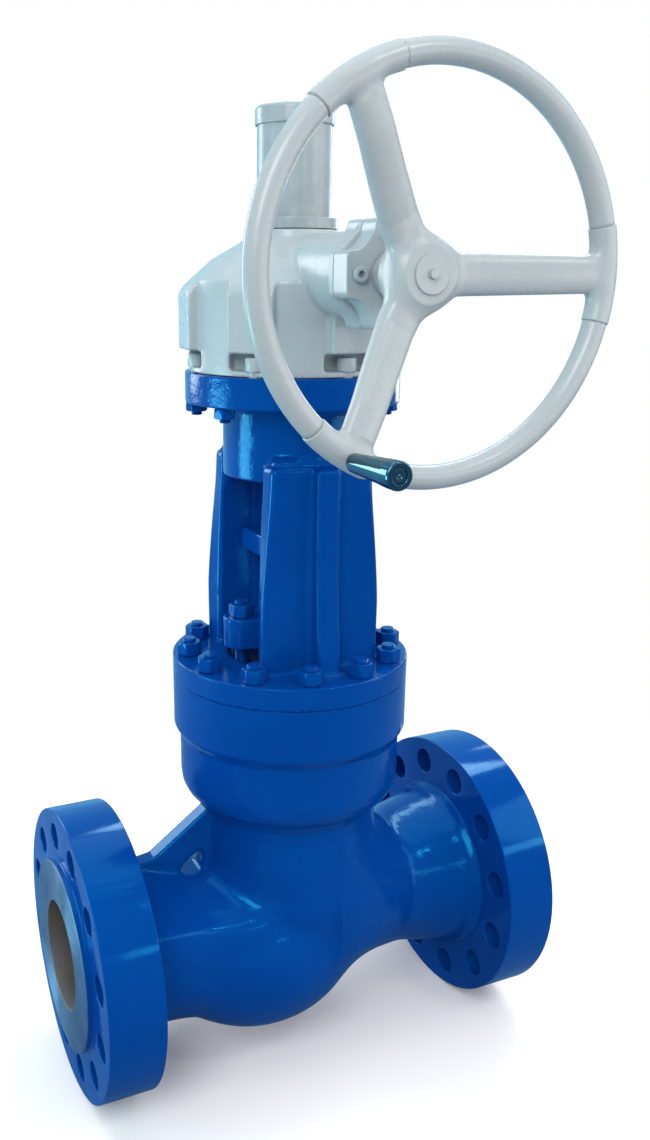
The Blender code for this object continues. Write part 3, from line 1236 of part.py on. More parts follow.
def make_handwheel():
    """Spider with hub, spokes, rim sockets and handle pin; then the three rim tubes."""
    front = -HUB_FRONT
    back = -HUB_BACK
    spider = turned("handwheel_spider", [
        (WHEEL_SHAFT_RADIUS + CLEARANCE, back), (HUB_RADIUS - 0.004, back), (HUB_RADIUS, back + 0.006),
        (HUB_RADIUS, front - 0.012), (HUB_RADIUS - 0.008, front - 0.002), (HUB_RADIUS - 0.014, front),
        (WHEEL_SHAFT_RADIUS + CLEARANCE, front),
    ], PAINT_GREY, INPUT_AXIS, MEDIUM_STEPS)
    tool = None
    step = 360 / SPOKE_COUNT
    for i in range(SPOKE_COUNT):
        angle = step * i
        turn = Matrix.Translation((0, 0, INPUT_AXIS_HEIGHT)) @ Matrix.Rotation(-math.radians(angle), 4, "Y")
        spoke = make_spoke(f"spoke_{i + 1}", turn)
        socket = tube_along(f"socket_{i + 1}", rim_arc(angle - SOCKET_HALF_DEG, angle + SOCKET_HALF_DEG, 7),
                            SOCKET_RADIUS, 3)
        join(spoke, socket)
        join(spider, spoke)
    cut(spider, rod("wheel_bore", WHEEL_SHAFT_RADIUS + CLEARANCE, back - 0.01, front + 0.01, None, INPUT_AXIS,
                    MEDIUM_STEPS))
    head = HANDLE_LENGTH + SOCKET_RADIUS - 0.004
    join(spider, turned("handle_pin", [
        (0, head), (0.0095, head), (0.0095, head - 0.007), (HANDLE_PIN_RADIUS, head - 0.007),
        (HANDLE_PIN_RADIUS, 0.004), (0, 0.004)], None, handle_matrix(), HOLE_SIDES * 2))
    # The square-cut ends of both polylines lean by half a chord's angle, so the gap is a little wider
    gap = math.degrees(7 * CLEARANCE / RIM_RADIUS)
    for i, name in enumerate(numbered("rim_tube", SPOKE_COUNT)):
        start = step * i + SOCKET_HALF_DEG + gap
        tube_along(name, rim_arc(start, start + step - 2 * (SOCKET_HALF_DEG + gap), 14), RIM_TUBE_RADIUS, 2, PAINT_GREY)
    return spider


def make_end_plate():
    """Disc screwed on the shaft's end that keeps the wheel on."""
    low = -HUB_FRONT + 0.0002 + CLEARANCE
    return turned("wheel_end_plate", [
        (0, low + END_PLATE_THICKNESS + 0.005), (0.006, low + END_PLATE_THICKNESS + 0.005),
        (0.006, low + END_PLATE_THICKNESS), (END_PLATE_RADIUS - 0.001, low + END_PLATE_THICKNESS),
        (END_PLATE_RADIUS, low + END_PLATE_THICKNESS - 0.001), (END_PLATE_RADIUS, low), (0, low),
    ], PAINT_GREY, INPUT_AXIS, SMALL_STEPS)


def make_spinner_handle():
    """Turned grip that spins on its pin, widening to its free end, which is recessed."""
    low = SOCKET_RADIUS + CLEARANCE
    high = low + HANDLE_LENGTH
    bore = running_bore(HANDLE_PIN_RADIUS, SMALL_STEPS)
    recess = 0.0105
    floor = HANDLE_LENGTH + SOCKET_RADIUS - 0.004 - 0.007 - CLEARANCE
    return turned("spinner_handle", [
        (bore, low), (HANDLE_BASE_RADIUS - 0.001, low), (HANDLE_BASE_RADIUS, low + 0.002),
        (HANDLE_BASE_RADIUS + 0.0028, low + 0.050), (HANDLE_END_RADIUS, high - 0.014),
        (HANDLE_END_RADIUS - 0.001, high - 0.002), (HANDLE_END_RADIUS - 0.003, high), (recess, high),
        (recess, floor), (bore, floor),
    ], CHROME, handle_matrix(), SMALL_STEPS)


make_body()
make_seat_ring()
make_disc()
make_disc_nut()
make_stem()
make_bonnet()
make_seal_rings()
make_packing()
make_gland()
make_gland_flange()
make_gland_bolts()
make_yoke()
make_bonnet_studs()
make_stem_guide()
make_gearbox_housing()
make_gearbox_fasteners()
make_input_cover()
make_input_bush()
make_bevel_gear()
make_bevel_pinion()
make_stem_nut()
make_roller_cage("lower_roller_cage", LOWER_BEARING_HEIGHT)
make_roller_cage("upper_roller_cage", UPPER_BEARING_HEIGHT)
make_stem_cover()
make_handwheel()
make_end_plate()
make_spinner_handle()
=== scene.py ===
"""Looks of a bevel gear globe valve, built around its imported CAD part.

Metres, +Z up along the stem, the pipe along X with its inlet at -X, the handwheel facing -Y.
Castings are skins of distance fields whose parts melt into each other, and turned, drilled,
threaded and bent pieces are parametric surfaces, all worked out with numpy.
"""

from __future__ import annotations

import json
import logging
from collections.abc import Callable, Sequence
from dataclasses import dataclass
from enum import Enum
from math import ceil, cos, hypot, pi, radians, sin, tan
from typing import NamedTuple

import bmesh
import bpy
import numpy as np
from mathutils import Matrix, Vector


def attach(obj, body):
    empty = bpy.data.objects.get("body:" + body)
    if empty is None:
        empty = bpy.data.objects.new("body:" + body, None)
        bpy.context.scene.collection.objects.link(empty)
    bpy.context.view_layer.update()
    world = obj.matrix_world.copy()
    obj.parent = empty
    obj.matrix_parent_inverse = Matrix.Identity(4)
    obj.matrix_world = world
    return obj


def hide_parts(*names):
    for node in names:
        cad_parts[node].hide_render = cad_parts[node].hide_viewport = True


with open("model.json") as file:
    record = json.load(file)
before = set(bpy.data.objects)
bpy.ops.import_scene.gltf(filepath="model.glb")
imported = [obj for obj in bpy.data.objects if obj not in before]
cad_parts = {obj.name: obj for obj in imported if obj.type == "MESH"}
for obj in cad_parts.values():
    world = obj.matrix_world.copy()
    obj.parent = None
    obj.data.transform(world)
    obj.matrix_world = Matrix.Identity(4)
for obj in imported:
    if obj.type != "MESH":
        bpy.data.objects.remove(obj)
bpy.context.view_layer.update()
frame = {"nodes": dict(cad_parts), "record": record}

LOG = logging.getLogger("valve")
Array = np.ndarray
Field = Callable[[Array], Array]
Profile = Sequence[tuple[float, float]]
Colour = tuple[float, float, float]

HALF_LENGTH = 0.4207
INPUT_AXIS_HEIGHT = 1.096
HOUSING_BOTTOM = 0.9503
PLATE_BOTTOM = 0.902
PLATE_TOP = 0.950
SCREW_CIRCLE = 0.156
COLUMN_COUNT = 7
COLUMN_START_DEG = 17.4


class Slot(Enum):
    """Material slots of the record that new pieces take their finish from."""

    BLUE = "blue_paint"
    GREY = "grey_paint"
    BARE = "bare_steel"
    TRIM = "trim_steel"
    CHROME = "chrome"
    BRONZE = "bronze"
    GRAPHITE = "graphite"


class Rider(Enum):
    """Bodies of the record that pieces ride on."""

    VALVE = "valve_body"
    STEM = "stem"
    WHEEL = "handwheel"
    HANDLE = "spinner_handle"


# Meshes

def mesh_object(name: str, points: Array, faces: Array, normals: Array | None = None) -> bpy.types.Object:
    """Puts arrays of points and quads into a smooth mesh object.

    Args:
        name: Name of the object and its mesh.
        points: (n, 3) places in metres.
        faces: (m, 4) corner numbers, outward by the right-hand rule.
        normals: (n, 3) unit normals, where the surface's own are known.

    Returns:
        The linked object, at the origin.
    """
    mesh = bpy.data.meshes.new(name)
    mesh.vertices.add(len(points))
    mesh.vertices.foreach_set("co", np.ascontiguousarray(points, np.float32).ravel())
    mesh.loops.add(faces.size)
    mesh.loops.foreach_set("vertex_index", np.ascontiguousarray(faces, np.int32).ravel())
    mesh.polygons.add(len(faces))
    mesh.polygons.foreach_set("loop_start", np.arange(0, faces.size, 4, dtype=np.int32))
    mesh.update(calc_edges=True)
    mesh.validate()
    mesh.shade_smooth()
    if normals is not None:
        mesh.normals_split_custom_set_from_vertices(normals.tolist())
    thing = bpy.data.objects.new(name, mesh)
    bpy.context.scene.collection.objects.link(thing)
    return thing


def tidy_mesh(thing: bpy.types.Object) -> bpy.types.Object:
    """Merges a mesh's doubled points, turns its faces outwards and lets flats keep their own shading."""
    work = bmesh.new()
    work.from_mesh(thing.data)
    bmesh.ops.remove_doubles(work, verts=work.verts, dist=1e-6)
    bmesh.ops.recalc_face_normals(work, faces=work.faces)
    work.to_mesh(thing.data)
    work.free()
    thing.data.shade_smooth()
    weigh = thing.modifiers.new("flat_shading", "WEIGHTED_NORMAL")
    weigh.weight = 90
    weigh.keep_sharp = True
    return thing


def grid_faces(rows: int, columns: int, first: int = 0) -> Array:
    """Quads of a grid of points, joined round its columns."""
    i, j = np.meshgrid(np.arange(rows - 1), np.arange(columns), indexing="ij")
    k = (j + 1) % columns
    quads = np.stack([i * columns + j, i * columns + k, (i + 1) * columns + k, (i + 1) * columns + j], -1)
    return quads.reshape(-1, 4) + first


def from_grids(name: str, *grids: Array) -> bpy.types.Object:
    """One mesh of several grids of points, each of shape (rows, columns, 3), merged where they meet."""
    points = np.concatenate([grid.reshape(-1, 3) for grid in grids])
    starts = np.cumsum([0] + [grid.shape[0] * grid.shape[1] for grid in grids[:-1]])
    faces = np.concatenate([grid_faces(*grid.shape[:2], start) for grid, start in zip(grids, starts)])
    return tidy_mesh(mesh_object(name, points, faces))


def eased(profile: Profile, radius: float, closed: bool = False) -> Array:
    """Rounds a line's corners: each becomes a quadratic curve between points a short way along both sides."""
    line = np.array(profile, float)
    before = np.roll(line, 1, axis=0)
    after = np.roll(line, -1, axis=0)
    to_before, to_after = before - line, after - line
    near = np.linalg.norm(to_before, axis=1)[:, None]
    far = np.linalg.norm(to_after, axis=1)[:, None]
    start = line + to_before / np.maximum(near, 1e-9) * np.minimum(radius, near * 0.45)
    end = line + to_after / np.maximum(far, 1e-9) * np.minimum(radius, far * 0.45)
    s = np.linspace(0, 1, 4)[None, :, None]
    curve = (1 - s) ** 2 * start[:, None] + 2 * s * (1 - s) * line[:, None] + s ** 2 * end[:, None]
    if closed:
        return curve.reshape(-1, 2)
    return np.concatenate([line[:1], curve[1:-1].reshape(-1, 2), line[-1:]])


def circle_ways(count: int) -> Array:
    """Ways (cos a, sin a) at even angles round a circle."""
    angle = 2 * pi * np.arange(count) / count
    return np.stack([np.cos(angle), np.sin(angle)], -1)


def round_rows(rows: Sequence[Sequence[Array | float]], count: int) -> Array:
    """Rows of points (r cos a, r sin a, h) round local Z.

    Args:
        rows: A reach r and a height h for each row, as numbers or as one value for each angle.
        count: Points in a row.

    Returns:
        Grid of points of shape (rows, count, 3).
    """
    reach, height = (np.stack([np.broadcast_to(row[i], count) for row in rows])[..., None] for i in (0, 1))
    return np.concatenate([reach * circle_ways(count), height], -1)


def placed(points: Array, matrix: Matrix | None) -> Array:
    """Points taken through a 4x4 placement."""
    if matrix is None:
        return points
    m = np.array(matrix)
    return points @ m[:3, :3].T + m[:3, 3]


def turned(name: str, profile: Profile, ease: float = 0.001, steps: int = 64,
           matrix: Matrix | None = None) -> bpy.types.Object:
    """A lathe-turned piece with eased corners: the profile of (radius, height) points swept round local Z.

    Args:
        name: Name of the piece.
        profile: Points that start and end on the axis for a solid, or a loop for a ring.
        ease: How far each corner is rounded.
        steps: Facets round the axis.
        matrix: Placement of local Z.

    Returns:
        The finished object.
    """
    ring = profile[0][0] > 0
    line = eased(profile, ease, closed=ring)
    if ring:
        line = np.concatenate([line, line[:1]])
    return from_grids(name, placed(round_rows(line, steps), matrix))


def prism_grid(outline: Array, low: float, high: float, ease: float) -> Array:
    """Rows of an upright wall over a closed outline, drawn in towards its middle at both eased ends.

    Each row is the outline moved along its own normals by a share of the easing, and the end rows
    shrink to the middle point.
    """
    after = np.roll(outline, -1, axis=0) - np.roll(outline, 1, axis=0)
    normal = np.stack([after[:, 1], -after[:, 0]], -1)
    normal /= np.maximum(np.linalg.norm(normal, axis=1)[:, None], 1e-9)
    turn = np.linspace(0, pi / 2, 4)
    inset = ease * (1 - np.cos(turn))
    rise = ease * (1 - np.sin(turn))
    rows = [(outline - normal * d, low + h) for d, h in zip(inset[::-1], rise[::-1])]
    rows += [(outline - normal * d, high - h) for d, h in zip(inset, rise)]
    middle = outline.mean(axis=0)
    rows = [(rows[0][0] * 0 + middle, low)] + rows + [(rows[0][0] * 0 + middle, high)]
    return np.stack([np.column_stack([xy, np.full(len(xy), z)]) for xy, z in rows])


def hexagon(half_width: float, count: int) -> Array:
    """Reach at each angle: half the width over the cosine of the way to the nearest flat's middle."""
    angle = 2 * pi * np.arange(count) / count
    return half_width / np.cos((angle + pi / 6) % (pi / 3) - pi / 6)


def hex_nut_grid(width: float, low: float, high: float) -> Array:
    """Hexagon prism whose corners are turned off at 30 degrees at both ends."""
    reach = hexagon(width / 2, 48)
    flat = width / 2 * 0.965
    drop = (reach - flat) * tan(radians(30))
    rows = [(0, low), (flat, low), (reach, low + drop), (reach, high - drop), (flat, high), (0, high)]
    return round_rows(rows, 48)


def thread_grid(radius: float, pitch: float, depth: float, low: float, high: float, steps: int = 24,
                hand: int = 1) -> Array:
    """Threaded rod: the radius falls by a trapezoid wave of height minus the turn's share of a pitch.

    Args:
        radius: Outer radius.
        pitch: Rise of one turn.
        depth: Depth of the groove.
        low: Bottom of the rod.
        high: Top of the rod.
        steps: Facets round the axis.
        hand: 1 for a right-hand thread and -1 for a left-hand one.

    Returns:
        Grid of points, closed at both ends on the axis.
    """
    flat = 0.25
    rows = int(ceil((high - low) / pitch * 8)) + 1
    height = np.linspace(low, high, rows)[:, None]
    angle = (2 * pi * np.arange(steps) / steps)[None, :]
    phase = (height / pitch - hand * angle / (2 * pi)) % 1
    wave = np.clip((np.abs(phase - 0.5) * 2 - flat) / (1 - 2 * flat), 0, 1)
    fade = np.clip(np.minimum(height - low, high - height) / (pitch * 0.5), 0, 1)
    reach = radius - np.maximum(depth * wave, depth * (1 - fade))
    return round_rows([(0, low), *zip(reach, height), (0, high)], steps)


def swept_grid(path: Array, radius: float, steps: int) -> Array:
    """Tube round a path in an upright XZ plane: at each point a circle across the path."""
    tangent = np.gradient(path, axis=0)
    tangent /= np.linalg.norm(tangent, axis=1)[:, None]
    side = np.array((0.0, 1.0, 0.0))
    up = np.cross(side, tangent)[:, None]
    ways = circle_ways(steps)
    grid = path[:, None] + radius * (up * ways[None, :, :1] + side * ways[None, :, 1:])
    return np.concatenate([np.repeat(path[:1, None], steps, 1), grid, np.repeat(path[-1:, None], steps, 1)])


# Distance fields

def outline_distance(u: Array, v: Array, outline: Profile) -> Array:
    """Signed distance to a closed outline: the least to its edges, negative inside by the crossing rule."""
    best = np.full(u.shape, 1e9, u.dtype)
    inside = np.zeros(u.shape, bool)
    for (a, b), (c, d) in zip(outline, list(outline[1:]) + [outline[0]]):
        ex, ey = c - a, d - b
        wx, wy = u - a, v - b
        share = np.clip((wx * ex + wy * ey) / max(ex * ex + ey * ey, 1e-12), 0, 1)
        best = np.minimum(best, (wx - share * ex) ** 2 + (wy - share * ey) ** 2)
        crosses = (b > v) != (d > v)
        if d != b:
            inside ^= crosses & (u < a + (v - b) * ex / (d - b))
    return np.sqrt(best) * np.where(inside, -1, 1)


def rounded(ease: float, *reaches: Array) -> Array:
    """Signed distance to where every reach is below nought, its corners eased by a radius."""
    q = np.stack(reaches) + ease
    return np.linalg.norm(np.maximum(q, 0), axis=0) + np.minimum(q.max(axis=0), 0) - ease


def box_distance(u: Array, v: Array, w: Array, half: Sequence[float], ease: float) -> Array:
    """Signed distance to a box with eased edges, from its middle."""
    return rounded(ease, *(np.abs(way) - reach for way, reach in zip((u, v, w), half)))


def slab(plane: Array, across: Array, half: float, ease: float) -> Array:
    """An outline's distance limited to a thickness, with eased edges."""
    return rounded(ease, plane, np.abs(across) - half)


def melt(a: Array, b: Array, width: float | Array) -> Array:
    """Union of two fields, its corner filled over a width: the smaller, less a parabola of their gap."""
    share = np.maximum(width - np.abs(a - b), 0) / width
    return np.minimum(a, b) - share * share * width / 4


def carve(a: Array, b: Array, width: float) -> Array:
    """Field a without field b, its new edge eased over a width."""
    return -melt(-a, b, width)


def cap(a: Array, b: Array, width: float) -> Array:
    """What fields a and b share, its new edge eased over a width."""
    return -melt(-a, -b, width)


def upright(p: Array) -> tuple[Array, Array]:
    """Radius round the stem's axis, and height."""
    return np.hypot(p[:, 0], p[:, 1]), p[:, 2]


def run_distance(p: Array, stations: Array, shoulder: float = 0.0) -> Array:
    """A run along X with oval sections, between stations of (x, middle's height, half height, half width).

    The oval's power is 2, plus the shoulder's share above the middle, which squares its upper corners.
    """
    x = p[:, 0]
    middle, tall, wide = (np.interp(x, stations[:, 0], stations[:, i]) for i in (1, 2, 3))
    rise = p[:, 2] - middle
    power = 2.0 + shoulder * np.clip(rise / 0.03, 0, 1)
    reach = (np.abs(p[:, 1] / wide) ** power + np.abs(rise / tall) ** power) ** (1 / power)
    return (reach - 1) * np.minimum(tall, wide)


def smooth_stations(stations: Sequence[Sequence[float]], count: int = 48) -> Array:
    """Stations refilled along the Catmull-Rom curve through them: a cubic between each pair of neighbours."""
    table = np.array(stations, float)
    share = np.linspace(0, len(table) - 1, count)
    low = np.minimum(share.astype(int), len(table) - 2)
    t = share - low
    p0 = table[np.maximum(low - 1, 0)]
    p1, p2 = table[low], table[low + 1]
    p3 = table[np.minimum(low + 2, len(table) - 1)]
    t = t[:, None]
    curve = 0.5 * (2 * p1 + (p2 - p0) * t + (2 * p0 - 5 * p1 + 4 * p2 - p3) * t ** 2
                   + (3 * p1 - p0 - 3 * p2 + p3) * t ** 3)
    return curve[np.argsort(curve[:, 0])]


def in_chunks(shape: Field, points: Array, size: int = 300000) -> Array:
    """A field's values, worked out a chunk of points at a time."""
    return np.concatenate([shape(points[i:i + size]) for i in range(0, len(points), size)])


def slope_of(shape: Field, points: Array, step: float) -> Array:
    """Gradient of a field by central differences."""
    columns = []
    for axis in range(3):
        shift = np.zeros(3, points.dtype)
        shift[axis] = step
        columns.append((in_chunks(shape, points + shift) - in_chunks(shape, points - shift)) / (2 * step))
    return np.stack(columns, -1)


CORNERS = np.array([(i, j, k) for i in (0, 1) for j in (0, 1) for k in (0, 1)])
EDGES = [(a, b) for a in range(8) for b in range(a, 8) if np.abs(CORNERS[a] - CORNERS[b]).sum() == 1]
BLOCK = 4


def window(values: Array, corner: Sequence[int], size: Sequence[int]) -> Array:
    """View of a 3-D array that starts at a corner."""
    return values[tuple(slice(first, first + count) for first, count in zip(corner, size))]


def blown_up(values: Array) -> Array:
    """A 3-D array with each value repeated over a block of cells."""
    for axis in range(3):
        values = values.repeat(BLOCK, axis)
    return values


def sampled(shape: Field, origin: Array, counts: Array, cell: float) -> Array:
    """A field on a grid: exact in the blocks near its surface, which a coarse pass finds, rough elsewhere."""
    axes = [origin[i] + cell * np.arange(counts[i]) for i in range(3)]
    places = np.stack(np.meshgrid(*(a[::BLOCK] for a in axes), indexing="ij"), -1)
    rough = in_chunks(shape, places.reshape(-1, 3)).reshape(places.shape[:3])
    close = np.abs(rough) < cell * BLOCK * 2.6
    size = np.array(rough.shape) - 1
    near = blown_up(np.any([window(close, corner, size) for corner in CORNERS], axis=0))
    values = window(blown_up(rough), (0, 0, 0), counts).copy()
    wanted = np.zeros(counts, bool)
    for corner in CORNERS:
        view = window(wanted, corner, near.shape)
        view |= near
    values[wanted] = in_chunks(shape, origin + cell * np.argwhere(wanted))
    return values


def surface_cells(values: Array) -> tuple[Array, Array]:
    """Points, in cells, at the mean crossing of each crossed cell, and each cell's number or -1."""
    inside = values < 0
    size = np.array(values.shape) - 1
    total = sum(window(inside, corner, size).astype(np.int8) for corner in CORNERS)
    cells = np.argwhere((total > 0) & (total < 8))
    numbers = np.full(total.shape, -1)
    numbers[tuple(cells.T)] = np.arange(len(cells))
    samples = np.stack([values[tuple((cells + corner).T)] for corner in CORNERS], 1)
    places, crossings = np.zeros((len(cells), 3)), np.zeros(len(cells))
    for a, b in EDGES:
        mixed = (samples[:, a] < 0) != (samples[:, b] < 0)
        gap = np.where(mixed, samples[:, a] - samples[:, b], 1)
        share = np.where(mixed, samples[:, a] / gap, 0)[:, None]
        places += mixed[:, None] * (CORNERS[a] + share * (CORNERS[b] - CORNERS[a]))
        crossings += mixed
    return cells + places / crossings[:, None], numbers


def surface_quads(inside: Array, numbers: Array) -> Array:
    """A quad round each crossed grid edge, through the points of its four cells, facing out."""
    counts = np.array(inside.shape)
    quads = []
    for axis in range(3):
        b, c = (axis + 1) % 3, (axis + 2) % 3
        first = np.take(inside, np.arange(counts[axis] - 1), axis)
        edge = np.argwhere(first != np.take(inside, np.arange(1, counts[axis]), axis))
        edge = edge[((edge[:, [b, c]] > 0) & (edge[:, [b, c]] < counts[[b, c]] - 1)).all(1)]
        steps = np.zeros((4, 3), int)
        steps[[0, 3], b] = -1
        steps[[0, 1], c] = -1
        quad = np.stack([numbers[tuple((edge + step).T)] for step in steps], 1)
        flip = ~first[tuple(edge.T)]
        quad[flip] = quad[flip][:, ::-1]
        quads.append(quad)
    return np.concatenate(quads)


def skin(name: str, shape: Field, low: Sequence[float], high: Sequence[float],
         cell: float) -> bpy.types.Object:
    """Surface of a distance field: one point in each grid cell that it crosses, moved onto the surface.

    The points are evened out twice, by taking 0.4 of each and 0.6 of its neighbours' mean, and slid
    along the field's slope, by its value over the slope squared, until the field is nought there.

    Args:
        name: Name of the piece.
        shape: The distance field.
        low: Lowest corner of the grid.
        high: Highest corner of the grid.
        cell: Grid spacing.

    Returns:
        The finished object, with the field's own normals.
    """
    origin = np.array(low, float) - 0.37 * cell
    counts = (np.ceil((np.array(high) - origin) / (cell * BLOCK)).astype(int) + 1) * BLOCK + 1
    values = sampled(shape, origin, counts, cell)
    places, numbers = surface_cells(values)
    points = origin + cell * places
    faces = surface_quads(values < 0, numbers)
    pairs = np.concatenate([faces[:, [i, (i + 1) % 4]] for i in range(4)])
    degree = np.maximum(np.bincount(pairs[:, 0], minlength=len(points)), 1)[:, None]
    for turn in range(4):
        if turn < 2:
            sums = [np.bincount(pairs[:, 0], points[pairs[:, 1], axis], len(points)) for axis in range(3)]
            points = 0.4 * points + 0.6 * np.stack(sums, -1) / degree
        slope = slope_of(shape, points, cell * 0.05)
        steep = np.maximum((slope ** 2).sum(1, keepdims=True), 0.05)
        points = points - np.clip(in_chunks(shape, points), -cell, cell)[:, None] * slope / steep
    slope = slope_of(shape, points, cell * 0.12)
    normals = slope / np.maximum(np.linalg.norm(slope, axis=1, keepdims=True), 1e-9)
    return mesh_object(name, points, faces, normals)


# Materials

class Wire:
    """A socket of a node tree, with arithmetic that adds Math nodes."""

    def __init__(self, graph: Graph, socket: bpy.types.NodeSocket) -> None:
        """Keeps the socket and the graph it belongs to."""
        self.graph = graph
        self.socket = socket

    def _with(self, operation: str, first: Wire | float, second: Wire | float, clamp: bool = False) -> Wire:
        """Adds one Math node."""
        settings = {"operation": operation, "use_clamp": clamp}
        return self.graph.add("ShaderNodeMath", settings, {0: first, 1: second})

    def __add__(self, other: Wire | float) -> Wire:
        """Sum."""
        return self._with("ADD", self, other)

    def __mul__(self, other: Wire | float) -> Wire:
        """Product."""
        return self._with("MULTIPLY", self, other)

    def __sub__(self, other: Wire | float) -> Wire:
        """Difference."""
        return self._with("SUBTRACT", self, other)

    def __rsub__(self, other: float) -> Wire:
        """Difference from a number."""
        return self._with("SUBTRACT", other, self)

    def __pow__(self, other: float) -> Wire:
        """Power."""
        return self._with("POWER", self, other)

    __radd__, __rmul__ = __add__, __mul__

    def ramp(self, low: float, high: float) -> Wire:
        """Rises from 0 to 1 between two values, and stays there."""
        return self._with("MULTIPLY", self - low, 1 / (high - low), clamp=True)


class Graph:
    """The nodes of one material or world."""

    def __init__(self, owner: bpy.types.Material | bpy.types.World, shader: str = "Principled BSDF") -> None:
        """Opens the node tree and finds its first shader."""
        owner.use_nodes = True
        self.owner = owner
        self.tree = owner.node_tree
        self.shader = self.tree.nodes[shader]
        self.coordinates = self.tree.nodes.new("ShaderNodeTexCoord").outputs
        self.place = Wire(self, self.coordinates["Object"])

    @classmethod
    def of_material(cls, name: str) -> Graph:
        """Makes a material with its Principled shader."""
        return cls(bpy.data.materials.new(name))

    def add(self, kind: str, settings: dict, inputs: dict, output: str | int = 0) -> Wire:
        """Adds a node.

        Args:
            kind: Blender's name of the node's type.
            settings: Its properties, set before its sockets.
            inputs: Values or wires by socket name or number.
            output: Socket that is returned.

        Returns:
            The wire of that output.
        """
        node = self.tree.nodes.new(kind)
        for key, value in settings.items():
            setattr(node, key, value)
        for key, value in inputs.items():
            self.join(node.inputs[key], value)
        return Wire(self, node.outputs[output])

    def join(self, socket: bpy.types.NodeSocket, value: object) -> None:
        """Links a wire to a socket, or sets its value, to which a colour's alpha of 1 is added."""
        if isinstance(value, Wire):
            self.tree.links.new(value.socket, socket)
        elif socket.type == "RGBA" and len(value) == 3:
            socket.default_value = (*value, 1)
        else:
            socket.default_value = value

    def noise(self, scale: float, detail: float = 3.0, roughness: float = 0.5,
              stretch: Sequence[float] | None = None) -> Wire:
        """Noise on Object coordinates, from 0 to 1."""
        place = self.place
        if stretch:
            place = self.add("ShaderNodeMapping", {}, {"Vector": place, "Scale": stretch})
        settings = {"Vector": place, "Scale": scale, "Detail": detail, "Roughness": roughness}
        return self.add("ShaderNodeTexNoise", {}, settings)

    def axes(self) -> list[Wire]:
        """X, Y and Z of the Object coordinates."""
        node = self.tree.nodes.new("ShaderNodeSeparateXYZ")
        self.join(node.inputs[0], self.place)
        return [Wire(self, output) for output in node.outputs]

    def rays(self) -> tuple[Wire, Wire]:
        """One for camera rays, and one for glossy rays."""
        path = self.tree.nodes.new("ShaderNodeLightPath").outputs
        return Wire(self, path["Is Camera Ray"]), Wire(self, path["Is Glossy Ray"])

    def blend(self, share: Wire | float, first: object, second: object) -> Wire:
        """Colour between two, by a share."""
        inputs = {0: share, 6: first, 7: second}
        return self.add("ShaderNodeMix", {"data_type": "RGBA"}, inputs, 2)

    def bump(self, height: Wire, distance: float) -> None:
        """Feeds a height in units of a distance to the shader's normal."""
        wire = self.add("ShaderNodeBump", {}, {"Height": height, "Distance": distance, "Strength": 1.0})
        self.join(self.shader.inputs["Normal"], wire)

    def finish(self, **inputs: object) -> bpy.types.Material:
        """Sets the shader's inputs, with a low line for each blank in their names, and returns the owner."""
        for key, value in inputs.items():
            self.join(self.shader.inputs[key.replace("_", " ")], value)
        return self.owner


@dataclass(frozen=True)
class Enamel:
    """Glossy sprayed paint over metal: slow shade drift, ripple, and the cast skin under it.

    Attributes:
        name: Name of the material.
        colour: The paint's colour.
        shade: Its darker patches.
        gloss: Least roughness.
        cast: How strongly the cast skin shows, against 1 for rough sand casting.
        glint: Tint of the reflection seen straight on.
        drawn_and_reflection_streaks: Strength of darker upright streaks, partly drawing lines and partly
            painted reflection streaks.
    """

    name: str
    colour: Colour
    shade: Colour
    gloss: float
    cast: float
    glint: Colour = (1.0, 1.0, 1.0)
    drawn_and_reflection_streaks: float = 0.0
    relief: float = 0.0013

    def make(self) -> bpy.types.Material:
        """Builds the material."""
        g = Graph.of_material(self.name)
        drift = g.noise(5.0)
        mottle = g.noise(55.0, 4.0)
        grit = g.noise(420.0, 3.0, 0.6)
        hills = g.noise(26.0, 3.0, 0.45)
        dents = g.noise(95.0, 3.0, 0.55)
        colour = g.blend((drift * 0.7 + mottle * 0.3).ramp(0.32, 0.68), self.colour, self.shade)
        height = hills * (0.9 * self.cast) + dents * (0.40 * self.cast + 0.03)
        height = height + grit * (0.05 * self.cast + 0.01)
        # Upright streaks darken the colour towards the shade, partly as drawing lines and partly as painted
        # reflection streaks, and also raise the bump.
        if self.drawn_and_reflection_streaks:
            lines = g.noise(75.0, 2.0, 0.5, (1, 1, 0.02))
            colour = g.blend(lines.ramp(0.38, 0.62) * self.drawn_and_reflection_streaks, colour, self.shade)
            height = height + lines * self.drawn_and_reflection_streaks
        g.bump(height, self.relief)
        rough = self.gloss + mottle * 0.06 + grit * 0.02
        return g.finish(Base_Color=colour, Roughness=rough, Metallic=0.0, IOR=1.5, Specular_Tint=self.glint)


@dataclass(frozen=True)
class MachinedFace:
    """Bare turned steel: fine rings round an axis along X, light stains and a rusty bore."""

    name: str
    colour: Colour
    stain: Colour
    bore: Colour
    bore_radius: float = 0.0905
    ring_pitch: float = 0.0016
    relief: float = 0.0006

    def make(self) -> bpy.types.Material:
        """Builds the material."""
        g = Graph.of_material(self.name)
        _, y, z = g.axes()
        radius = (y * y + z * z) ** 0.5
        rings = g.add("ShaderNodeMath", {"operation": "SINE"}, {0: radius * (2 * pi / self.ring_pitch)})
        cloud = g.noise(14.0, 5.0, 0.6)
        speck = g.noise(160.0, 4.0, 0.65)
        inner = 1 - radius.ramp(self.bore_radius, self.bore_radius + 0.002)
        steel = g.blend(cloud.ramp(0.4, 0.7), self.colour, self.stain)
        rust = g.blend((speck * 0.4 + cloud * 0.6).ramp(0.36, 0.66), self.bore, self.stain)
        g.bump(rings * (1 - inner) * 0.5 + speck * 0.6 * inner + speck * 0.12, self.relief)
        rough = 0.30 + cloud * 0.16 + inner * 0.18
        return g.finish(Base_Color=g.blend(inner, steel, rust), Roughness=rough, Metallic=0.9 - inner * 0.35)


